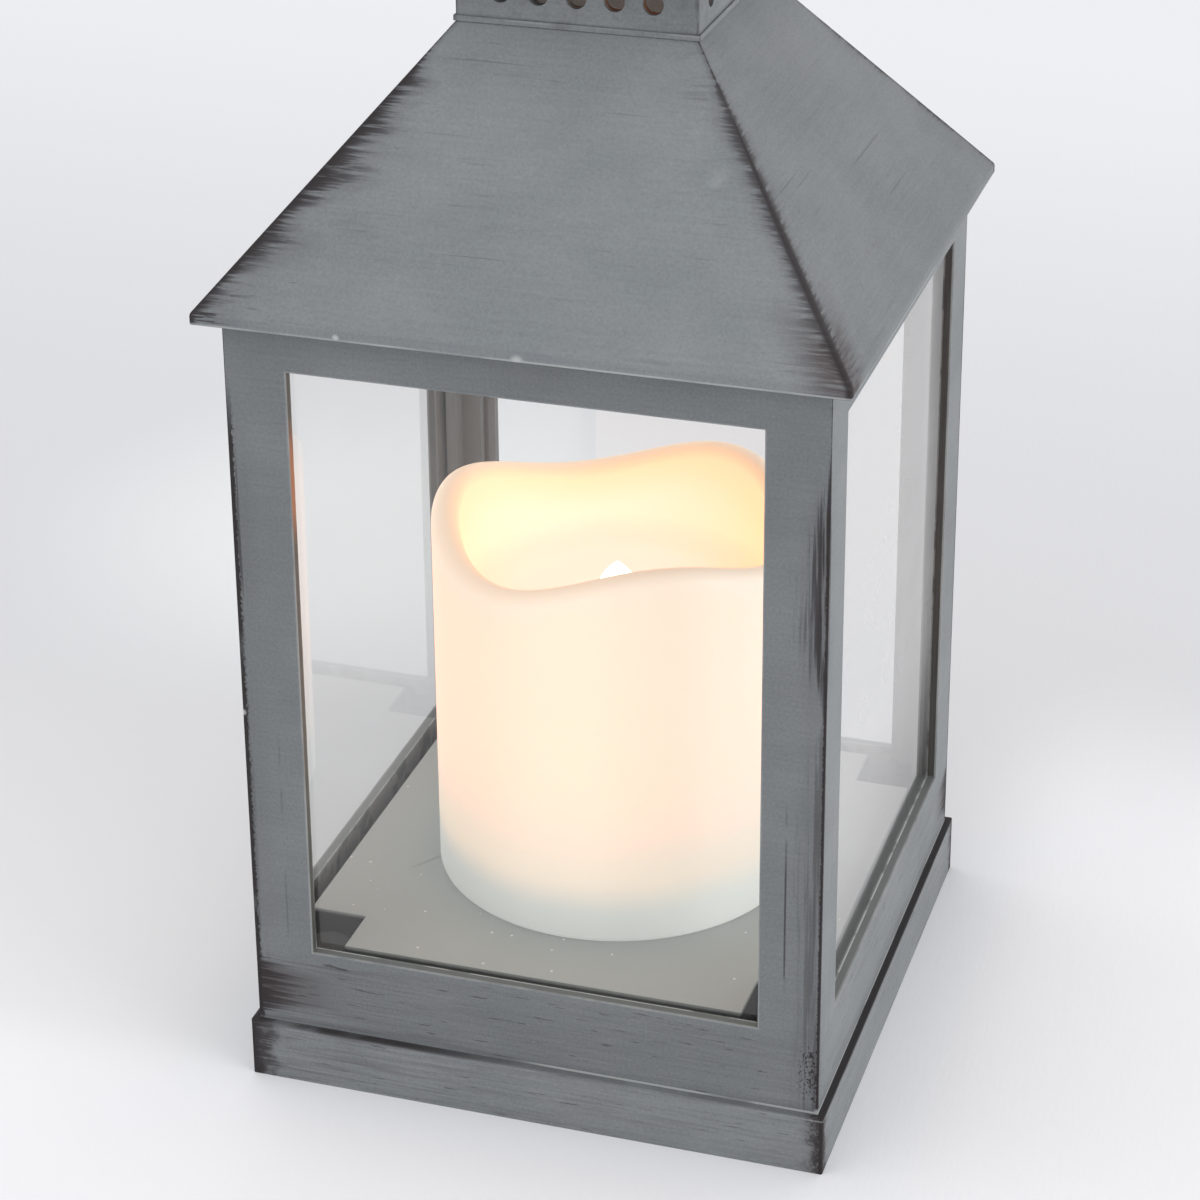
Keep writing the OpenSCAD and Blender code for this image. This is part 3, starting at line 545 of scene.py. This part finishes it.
def body_wear_and_highlights(s, outside, blots):
    """Light wear in a chip and on the arrises, a pale spot on a corner's bead, and a painted highlight
    along the seam with the plinth.
    """
    # painted highlight along the seam with the plinth, brighter towards the right
    seam_highlight = s.band(s.z, BODY_FOOT + 0.05, BODY_FOOT + 0.48, 0.1)
    seam_run = s.mul(s.ramp(s.x, -4, 4, 0.12, 1.0), s.ramp(s.noise((0.1, 0.1, 0.2)), 0.35, 0.5, 0.35, 1.0))
    bead = s.spot(*CORNER_BEAD)
    chip = s.spot(*POST_CHIP)
    across = s.least(s.math("ABSOLUTE", s.x), s.math("ABSOLUTE", s.y))
    sill_gap = s.most(s.sub(SILL_Z, s.z), s.sub(s.z, HEAD_Z))
    arris = s.band(s.most(s.sub(across, WINDOW_HALF), sill_gap), -0.1, 0.22, 0.06)
    arris = s.mul(s.mul(arris, outside), s.ramp(blots, 0.35, 0.6, 0.1, 0.35))
    wear_and_highlights = s.most(s.mul(s.mul(seam_highlight, seam_run), outside), s.most(bead, chip))
    return s.most(wear_and_highlights, arris)


def pane_seat_highlight(s, plan):
    """Painted highlight: a pale line where each pane seats, clearest along the sill."""
    seat = s.band(plan, PANE_FACE - 0.02, PANE_FACE + 0.26, 0.05)
    seat = s.mul(seat, s.ramp(s.noise((0.2, 0.2, 0.2), detail=3), 0.38, 0.5, 0.2, 0.9))
    return s.mul(seat, s.ramp(s.z, SILL_Z + 1.5, SILL_Z + 0.3, 0.35, 1.0))


def body_bare(s, plan, upright):
    """Bare plastic inside and in the window reveals, the reveals darker as painted shade; painted candle
    glow beside the candle, and painted shade at the far right and in the hollow below the floor.
    """
    reveal = s.ramp(plan, PANE_FACE - 0.3, PANE_FACE - 0.1)
    on_sill = s.ramp(s.z, SILL_Z + 0.4, SILL_Z + 0.1)
    # painted candle glow on the front left jamb, above the candle's rim
    glow_height = s.band(s.z, CANDLE_RIM + 11, CANDLE_RIM + 27, 5)
    warm = s.mul(s.mul(glow_height, s.ramp(s.x, 0, -20)), s.ramp(s.y, -34, -42, 0.12, 0.9))
    # painted shade on the far right jamb, in the undercoat's colour
    far_right = s.mul(s.ramp(s.x, 38, 44), s.ramp(s.y, 28, 38))
    shaded = s.mul(far_right, s.ramp(upright, 0.3, 0.7, 0.8, 0.35))
    jamb = s.mix(shaded, s.mix(warm, BARE_REVEAL_PAINTED_SHADE, GLOW_CAUGHT), UMBER)
    bare = s.mix(reveal, BARE_INNER, s.mix(on_sill, jamb, BARE_SILL))
    # painted shade: dark in the hollow below the floor
    return s.mix(s.ramp(s.z, FLOOR_Z - 1, FLOOR_Z + 0.5), HOLLOW_PAINTED_SHADE, bare)


def body_paint():
    """Painted posts and rails, grained upright and along, with bare plastic inside."""
    s = Shader("body_paint")
    plan = plan_distance(s)
    outside = s.ramp(plan, BODY_HALF - 0.45, BODY_HALF - 0.25)
    upright = s.noise((1.7, 1.7, 0.05), detail=4, roughness=0.6)
    level = s.noise((0.06, 0.06, 2.1), detail=4, roughness=0.65)
    blots = s.noise((0.16, 0.16, 0.08), detail=3)
    flakes = s.noise((2.9, 2.9, 2.0), detail=3, roughness=0.65)
    dark, film = body_marks(s, upright, level, blots, flakes)
    wear_and_highlights = s.most(body_wear_and_highlights(s, outside, blots), pane_seat_highlight(s, plan))
    # painted shade: the body's front and back darker than its sides, both darker than the roof's coat
    painted_shade = s.blend(on_sides(s), BODY_PAINTED_SHADE, SIDE_PAINTED_SHADE)
    color = s.mix(outside, body_bare(s, plan, upright), paint_color(s, painted_shade, line_depth=0.22))
    grain = s.blend(s.ramp(s.z, RAIL_TOP + 1, RAIL_TOP - 1), upright, level)
    return paint_finish(s, color, s.mul(film, outside), s.mul(dark, outside), wear_and_highlights, grain,
                        roughness=0.5, grain_depth=0.03)


def plinth_paint():
    """Painted outside with a dark ledge; the floor plate inside is bare plastic with a little dust."""
    s = Shader("plinth_paint")
    edge = hip_distance(s)
    level = s.noise((0.06, 0.06, 2.1), detail=4, roughness=0.65)
    flakes = s.noise((1.7, 1.7, 1.7), detail=3, roughness=0.65)
    blots = s.noise((0.3, 0.3, 0.3), detail=3)
    outside = s.ramp(plan_distance(s), BODY_HALF - 0.4, BODY_HALF + 0.2)
    side = on_sides(s)
    reach = s.add(0.9, s.mul(by_corner(s, 6.5, 3.4, 4.0, 3.0), s.ramp(blots, 0.3, 0.65, 0.3, 1.1)))
    grain = s.blend(by_corner(s, 0.2, 0.75, 0.3, 0.6), level, flakes)
    dark = strokes(s, edge, reach, grain, solid=0.3, bare=0.66)
    firm = s.ramp(edge, 0.5, s.add(1.1, s.mul(s.sub(flakes, 0.45), 3.0)), 1.0, 0.0)
    dashes = s.ramp(s.noise((0.17, 0.17, 2.4), detail=2, roughness=0.4), 0.68, 0.73, 0.0, 0.6)
    dark = s.most(s.most(dark, firm), dashes)
    ledge = s.ramp(s.z, BODY_FOOT - 0.75, BODY_FOOT - 0.25)
    along = s.noise((0.05, 0.05, 0.3), detail=3)
    front_ledge = s.mul(s.ramp(s.x, 5, -25, 0.25, 1.0), s.ramp(along, 0.35, 0.5, 0.3, 0.95))
    dark = s.most(dark, s.mul(ledge, s.blend(side, front_ledge, s.ramp(along, 0.3, 0.45, 0.75, 0.98))))
    film = s.mul(s.ramp(level, 0.42, 0.68), s.ramp(s.x, 10, -45, 0.22, 0.48))
    film = s.most(film, s.ramp(edge, 0.5, s.mul(reach, 1.5), 0.6, 0.0))
    film = s.mul(film, outside)
    dark = s.mul(dark, outside)
    plate = s.ramp(s.z, FLOOR_Z - 0.9, FLOOR_Z - 0.2)
    # painted shade: dark in the hollow under the floor plate
    bare = s.mix(plate, HOLLOW_PAINTED_SHADE, BARE_FLOOR)
    color = s.mix(outside, bare, paint_color(s, line_depth=0.4))
    dust = s.mul(s.mul(s.specks(0.3, 0.085), s.sub(1.0, outside)), plate)
    color = s.mix(s.mul(dust, 0.8), color, DUST)
    lip = s.band(s.z, BODY_FOOT - 0.55, BODY_FOOT - 0.3, 0.08)
    lip = s.mul(s.mul(lip, outside), s.ramp(along, 0.5, 0.62, 0.05, 0.4))
    return paint_finish(s, color, film, dark, lip, level, roughness=0.47, grain_depth=0.03)


# ---- clear panes ----


def pane_clear():
    """Thin clear plastic: straight-through view, mirror by Fresnel off both faces, a film of dust and a
    painted sheen at flat angles.
    """
    s = Shader("pane_clear")
    clear = s.node("ShaderNodeBsdfTransparent")
    clear.inputs["Color"].default_value = (0.997, 1.0, 0.999, 1)
    gloss = s.node("ShaderNodeBsdfGlossy")
    gloss.inputs["Roughness"].default_value = 0.03
    waves = s.bump(s.noise((0.015, 0.015, 0.01), detail=1), 0.25)
    s.feed(gloss.inputs["Normal"], waves)
    mirror = s.node("ShaderNodeFresnel")
    mirror.inputs["IOR"].default_value = 1.45
    outer_face = s.sub(1.0, s.node("ShaderNodeNewGeometry").outputs["Backfacing"])
    mixed = s.node("ShaderNodeMixShader")
    both_faces = s.math("DIVIDE", s.mul(mirror.outputs[0], 2.0), s.add(mirror.outputs[0], 1.0))
    s.feed(mixed.inputs[0], s.mul(both_faces, outer_face))
    s.feed(mixed.inputs[1], clear.outputs[0])
    s.feed(mixed.inputs[2], gloss.outputs[0])
    dust = s.node("ShaderNodeBsdfDiffuse")
    dust.inputs["Color"].default_value = (0.8, 0.8, 0.8, 1)
    dust_and_sheen_mix = s.node("ShaderNodeMixShader")
    # a faint film of dust, and a painted sheen where the pane is seen at a flat angle, growing from the
    # sill upwards
    flat_view = s.ramp(s.node("ShaderNodeLayerWeight").outputs["Facing"], 0.68, 0.84)
    dust_and_sheen = s.ramp(s.noise((0.03, 0.03, 0.05), detail=3), 0.35, 0.7, 0.02, 0.045)
    dust_and_sheen = s.add(dust_and_sheen, s.mul(flat_view, s.ramp(s.z, SILL_Z, SILL_Z + 45, 0.02, 0.27)))
    s.feed(dust_and_sheen_mix.inputs[0], s.mul(dust_and_sheen, outer_face))
    s.feed(dust_and_sheen_mix.inputs[1], mixed.outputs[0])
    s.feed(dust_and_sheen_mix.inputs[2], dust.outputs[0])
    return s.finish(dust_and_sheen_mix.outputs[0])


# ---- candle ----

RIM_WIDTH = 5.0
RIM_WAVE = 3.3
RIM_WAVES = 3
RIM_PEAK = math.radians(60)
RIM_MIDDLE = CANDLE_RIM - RIM_WAVE
WELL_DEPTH = 17.5
WELL_FILLET = 5.0
WICK_R = 4.1
SHELL_WALL = 2.0
SLICES = 180

# wax, and its glow from the unlit foot up the wall to the rim and in the recess; the foot's glow is
# painted daylight, the glow below the rim is dimmed as painted shade, and the recess glow is a painted
# pool of the flame's light
WAX = (0.62, 0.62, 0.58)
WAX_UNLIT = (0.62, 0.66, 0.63)
WAX_WELL = (0.62, 0.54, 0.42)
FOOT_PAINTED_DAYLIGHT = (0.21, 0.20, 0.185)
GLOW_LOW = (0.50, 0.37, 0.245)
GLOW_WALL = (0.88, 0.41, 0.225)
GLOW_RIM_PAINTED_SHADE = (0.62, 0.41, 0.255)
GLOW_WELL = (1.1, 0.57, 0.48)
GLOW_WELL_EDGE = (1.0, 0.35, 0.07)
GLOW_WELL_RIM = (0.80, 0.41, 0.20)


def rim_height(angle):
    """Height of the rim, which rises and falls three times round."""
    return RIM_MIDDLE + RIM_WAVE * math.cos(RIM_WAVES * (angle - RIM_PEAK))


def arc(r, z, radius, turn, steps):
    """Points round (r, z), from straight outwards through a turn."""
    return [(r + radius * math.cos(turn * i / steps), z + radius * math.sin(turn * i / steps))
            for i in range(steps + 1)]


def candle_section(angle):
    """Half section at an angle, from the foot up the outside, over the rim and down the recess."""
    round_r = RIM_WIDTH / 2
    round_z = rim_height(angle) - round_r
    well = CANDLE_R - RIM_WIDTH
    well_z = RIM_MIDDLE - WELL_DEPTH
    wall_z = FLOOR_Z + 0.6
    rows, rim_steps, well_rows, fillet_steps = 16, 16, 6, 12
    points = [(CANDLE_R - 0.5, FLOOR_Z), (CANDLE_R - 0.12, FLOOR_Z + 0.15), (CANDLE_R, wall_z)]
    points += [(CANDLE_R, wall_z + (round_z - wall_z) * i / rows) for i in range(1, rows)]
    points += arc(CANDLE_R - round_r, round_z, round_r, math.pi, rim_steps)
    drop = round_z - well_z - WELL_FILLET
    points += [(well, round_z - drop * i / well_rows) for i in range(1, well_rows)]
    points += arc(well - WELL_FILLET, well_z + WELL_FILLET, WELL_FILLET, -math.pi / 2, fillet_steps)
    points += [(WICK_R + out, well_z) for out in (12.0, 6.0, 1.0, 0.0)]
    points += [(WICK_R, well_z - SHELL_WALL), (CANDLE_R - SHELL_WALL, well_z - SHELL_WALL)]
    points.append((CANDLE_R - SHELL_WALL, FLOOR_Z))
    return points


def revolve(name, section, slices, material):
    """Closed solid from a half section that may change with the angle."""
    mesh = bmesh.new()
    rings = []
    for i in range(slices):
        angle = 2 * math.pi * i / slices
        rings.append([mesh.verts.new((r * math.cos(angle) * MM, r * math.sin(angle) * MM, z * MM))
                      for r, z in section(angle)])
    count = len(rings[0])
    for i in range(slices):
        here, there = rings[i], rings[(i + 1) % slices]
        for k in range(count):
            after = (k + 1) % count
            mesh.faces.new((here[k], there[k], there[after], here[after]))
    bmesh.ops.recalc_face_normals(mesh, faces=mesh.faces)
    data = bpy.data.meshes.new(name)
    mesh.to_mesh(data)
    mesh.free()
    for face in data.polygons:
        face.use_smooth = True
    data.materials.append(material)
    piece = bpy.data.objects.new(name, data)
    bpy.context.scene.collection.objects.link(piece)
    return piece


def candle_wax():
    """Wax lit from inside, unlit at the foot, strongest in the recess near the flame; the foot has a
    painted glow for daylight, the wall painted shade just below the rim and towards the right, and the
    recess a painted pool of the flame's light.
    """
    s = Shader("candle_wax")
    radius = s.math("SQRT", s.add(s.mul(s.x, s.x), s.mul(s.y, s.y)))
    uneven = s.noise((0.05, 0.05, 0.04), detail=2)
    height = s.add(s.sub(s.z, FLOOR_Z), s.mul(s.sub(uneven, 0.5), 3.0))
    lit = s.ramp(height, 4.6, 13)
    inside = s.ramp(radius, CANDLE_R - RIM_WIDTH + 3.4, CANDLE_R - RIM_WIDTH - 0.4)
    inside = s.mul(inside, s.ramp(s.z, CANDLE_RIM - WELL_DEPTH - 8, CANDLE_RIM - WELL_DEPTH - 6))
    angle = s.math("ARCTAN2", s.y, s.x)
    wave = s.math("COSINE", s.mul(s.sub(angle, RIM_PEAK), RIM_WAVES))
    below_rim = s.sub(s.add(RIM_MIDDLE, s.mul(wave, RIM_WAVE)), s.z)
    # painted shade: the wall's glow dimmer just below the rim
    rim_painted_shade = s.ramp(below_rim, 6.5, 1.0)
    hotter = s.ramp(height, 12, 32)
    wall_glow = s.mix(hotter, GLOW_LOW, GLOW_WALL)
    wall_glow = s.mix(rim_painted_shade, wall_glow, GLOW_RIM_PAINTED_SHADE)
    # painted shade: the wall's glow dimmer towards the right
    wall_glow = s.scale(wall_glow, s.ramp(s.x, 2, 32, 1.0, 0.74))
    # painted pool of the flame's light in the recess, brightest on its back wall
    painted_pool_at = (-5, 8, FLAME_HIGH.z - 5)
    reach = s.ramp(s.apart(painted_pool_at), 12, 38)
    well_glow = s.mix(reach, GLOW_WELL, GLOW_WELL_EDGE)
    well_glow = s.mix(s.ramp(below_rim, 10, 0.6), well_glow, GLOW_WELL_RIM)
    glow = s.mix(inside, s.mix(lit, FOOT_PAINTED_DAYLIGHT, wall_glow), well_glow)
    color = s.mix(lit, WAX_UNLIT, s.mix(inside, WAX, WAX_WELL))
    fine = s.noise((0.5, 0.5, 0.35), detail=3)
    shader = s.principled(color, s.ramp(fine, 0.3, 0.7, 0.42, 0.56), s.bump(fine, 0.03),
                          Specular_IOR_Level=0.4, Subsurface_Weight=0.25, Subsurface_Scale=0.004,
                          Subsurface_Radius=(1.0, 0.6, 0.35))
    s.feed(shader.inputs["Emission Color"], glow)
    shader.inputs["Emission Strength"].default_value = 1.0
    return s.finish(shader.outputs[0])


def flame_glow():
    """Plastic flame tip, whiter towards its point."""
    s = Shader("flame_glow")
    height = s.ramp(s.z, FLAME_LOW.z + 2, FLAME_HIGH.z)
    color = s.mix(height, (1.0, 0.72, 0.36), (1.0, 0.93, 0.75))
    fine = s.noise((0.8, 0.8, 0.8), detail=2)
    shader = s.principled((0.95, 0.92, 0.85), s.ramp(fine, 0.3, 0.7, 0.4, 0.55), s.bump(fine, 0.02))
    s.feed(shader.inputs["Emission Color"], color)
    shader.inputs["Emission Strength"].default_value = 5.0
    return s.finish(shader.outputs[0])


def lamp_glow():
    """The LED's lens, lit."""
    s = Shader("lamp_glow")
    hot = s.ramp(s.noise((0.4, 0.4, 0.4)), 0.3, 0.7)
    shader = s.principled((0.9, 0.85, 0.7), 0.15)
    s.feed(shader.inputs["Emission Color"], s.mix(hot, (1.0, 0.75, 0.4), (1.0, 0.85, 0.6)))
    shader.inputs["Emission Strength"].default_value = 6.0
    return s.finish(shader.outputs[0])


# ---- hardware and inner pieces ----


def moulded(name, color, roughness=0.55):
    """Bare moulded plastic with a fine spark texture."""
    s = Shader(name)
    fine = s.noise((1.6, 1.6, 1.6), detail=3)
    clouds = s.ramp(s.noise((0.05, 0.05, 0.05), detail=3), 0.3, 0.7)
    darker = tuple(c * 0.82 for c in color)
    rough = s.ramp(fine, 0.3, 0.7, roughness - 0.08, roughness + 0.08)
    shader = s.principled(s.mix(clouds, darker, color), rough, s.bump(fine, 0.03),
                          Specular_IOR_Level=0.45)
    return s.finish(shader.outputs[0])


def plated_metal(name, color):
    """Metal with fine brushing and a few duller patches."""
    s = Shader(name)
    lines = s.noise((0.2, 0.2, 2.0), detail=3)
    dull = s.ramp(s.noise((0.15, 0.15, 0.15), detail=3), 0.4, 0.7)
    darker = tuple(c * 0.6 for c in color)
    rough = s.add(s.ramp(lines, 0.3, 0.7, 0.22, 0.4), s.mul(dull, 0.12))
    shader = s.principled(s.mix(s.mul(dull, 0.5), color, darker), rough, s.bump(lines, 0.01), Metallic=1.0)
    return s.finish(shader.outputs[0])


def browned_wire():
    """Dark painted wire, rubbed brighter in patches."""
    s = Shader("browned_wire")
    fine = s.noise((1.2, 1.2, 1.2), detail=3)
    rubbed = s.ramp(s.noise((0.35, 0.35, 0.35), detail=3), 0.6, 0.75, 0.0, 0.6)
    color = s.mix(rubbed, (0.045, 0.040, 0.038), (0.17, 0.15, 0.135))
    shader = s.principled(color, s.ramp(fine, 0.3, 0.7, 0.38, 0.55), s.bump(fine, 0.02), Metallic=0.6)
    return s.finish(shader.outputs[0])


def board_mask():
    """Green board with paler tracks."""
    s = Shader("board_mask")
    tracks = s.node("ShaderNodeTexBrick")
    tracks.inputs["Scale"].default_value = 90.0
    tracks.inputs["Mortar Size"].default_value = 0.03
    color = s.mix(s.mul(tracks.outputs["Fac"], 0.6), (0.01, 0.12, 0.045), (0.03, 0.24, 0.09))
    shader = s.principled(color, s.ramp(s.noise((1, 1, 1)), 0.3, 0.7, 0.28, 0.4))
    return s.finish(shader.outputs[0])


def cell_sleeve():
    """Blue printed film round the cell with a grey band."""
    s = Shader("cell_sleeve")
    grey_band = s.band(s.x, -6, 9, 0.2)
    color = s.mix(grey_band, (0.02, 0.09, 0.19), (0.32, 0.33, 0.34))
    fine = s.noise((0.6, 0.6, 0.6), detail=2)
    shader = s.principled(color, s.ramp(fine, 0.3, 0.7, 0.22, 0.34), s.bump(fine, 0.01))
    return s.finish(shader.outputs[0])


# ---- putting materials on the CAD nodes ----


def give(material, *nodes):
    """Puts one material on whole CAD nodes."""
    for name in nodes:
        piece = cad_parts[name]
        piece.data.materials.clear()
        piece.data.materials.append(material)


def soften(width, *nodes):
    """Rounds the sharp moulded edges of CAD nodes a little."""
    for name in nodes:
        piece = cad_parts[name]
        weld = piece.modifiers.new("weld", "WELD")
        weld.merge_threshold = 1e-6
        bevel = piece.modifiers.new("edges", "BEVEL")
        bevel.width = width * MM
        bevel.segments = 2
        bevel.limit_method = "ANGLE"
        bevel.angle_limit = math.radians(35)
        bevel.harden_normals = True


# ---- floor and light ----

# half the side of the cloth in metres, its colours, which paint shade and light by place, and the place
# and radius of one in millimetres
FLOOR_REACH = 4.0
FLOOR_PALE = (0.83, 0.83, 0.838)
FLOOR_SHADED = (0.69, 0.688, 0.70)
FLOOR_PAINTED_LIGHT_BESIDE = (0.885, 0.88, 0.895)
FLOOR_PAINTED_LIGHT_BEHIND = (0.80, 0.81, 0.808)
FLOOR_PAINTED_LIGHT_SPOT = ((-105, 160, 0), 105)


def floor_cloth():
    """Pale cloth, with painted shade in a band behind the lantern, and painted light close in front, to
    the right and in a spot behind on the left.
    """
    s = Shader("floor_cloth")
    weave = s.noise((1.3, 0.25, 1.0), detail=2)
    near = s.ramp(s.y, -60, 130, 1.0, 0.0)
    far = s.ramp(s.y, 180, 620)
    color = s.mix(s.most(near, far), FLOOR_SHADED, FLOOR_PALE)
    beside = s.most(s.ramp(s.x, 40, 75), s.ramp(s.y, -42, -60))
    color = s.mix(s.mul(beside, s.ramp(s.y, 150, 60)), color, FLOOR_PAINTED_LIGHT_BESIDE)
    color = s.mix(s.spot(*FLOOR_PAINTED_LIGHT_SPOT), color, FLOOR_PAINTED_LIGHT_BEHIND)
    shader = s.principled(color, 0.85, s.bump(weave, 0.03), Specular_IOR_Level=0.1)
    return s.finish(shader.outputs[0])


def add_floor():
    """Square of cloth under the lantern, for the look only."""
    data = bpy.data.meshes.new("floor")
    corners = [(-1, -1), (1, -1), (1, 1), (-1, 1)]
    data.from_pydata([(x * FLOOR_REACH, y * FLOOR_REACH, 0) for x, y in corners], [], [(0, 1, 2, 3)])
    data.materials.append(floor_cloth())
    floor = bpy.data.objects.new("floor", data)
    bpy.context.scene.collection.objects.link(floor)


def add_area(name, at, aim, size, power):
    """Soft rectangular light at a place, turned towards another; metres and watts."""
    data = bpy.data.lights.new(name, "AREA")
    data.shape = "RECTANGLE"
    data.size, data.size_y = size
    data.energy = power
    light = bpy.data.objects.new(name, data)
    bpy.context.scene.collection.objects.link(light)
    light.location = at
    light.rotation_euler = (Vector(aim) - Vector(at)).to_track_quat("-Z", "Y").to_euler()


def add_world():
    """Pale, slightly cool light from all round."""
    world = bpy.data.worlds.new("studio")
    world.use_nodes = True
    back = world.node_tree.nodes["Background"]
    back.inputs["Color"].default_value = (0.97, 0.98, 1.0, 1)
    back.inputs["Strength"].default_value = 0.86
    bpy.context.scene.world = world


# ---- the scene ----

add_camera()
bpy.context.scene.view_settings.view_transform = "Standard"

give(roof_paint(), "roof")
give(collar_paint(), "vent_collar")
give(cap_paint(), "cap")
give(body_paint(), "body_frame")
give(plinth_paint(), "base_plinth")
give(pane_clear(), "pane_front", "pane_back", "pane_left", "pane_right")
give(moulded("underside_plastic", (0.075, 0.08, 0.085)), "base_cover", "battery_door")
give(moulded("black_plastic", (0.018, 0.018, 0.02), roughness=0.4),
     "switch_body", "switch_slider", "timer_chip")
give(moulded("inner_plastic", (0.72, 0.70, 0.63)), "candle_foot", "led_stem")
give(moulded("lead_sleeve", (0.30, 0.03, 0.03), roughness=0.35), "power_leads", "led_leads")
give(plated_metal("zinc_plate", (0.60, 0.61, 0.62)),
     "base_screws", "board_screws", "candle_screws", "hanger_nut", "contact_plates", "contact_springs")
give(browned_wire(), "hanger_eye", "ring_handle")
give(board_mask(), "circuit_board")
give(cell_sleeve(), "battery_front", "battery_middle", "battery_rear")
give(flame_glow(), "flame_tip")
give(lamp_glow(), "led_lamp")

soften(0.3, "roof", "cap")
soften(0.25, "body_frame", "base_plinth")
soften(0.15, "base_cover", "battery_door", "switch_slider")

candle = revolve("candle", candle_section, SLICES, candle_wax())
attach(candle, "housing")
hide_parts("candle_shell")

add_floor()
add_world()
add_area("key", at=(1.95, -0.5, 0.5), aim=(0, 0, 0.08), size=(1.4, 0.95), power=16)
add_area("top", at=(-0.45, -0.2, 1.8), aim=(0, 0, 0.05), size=(2.2, 2.2), power=9)
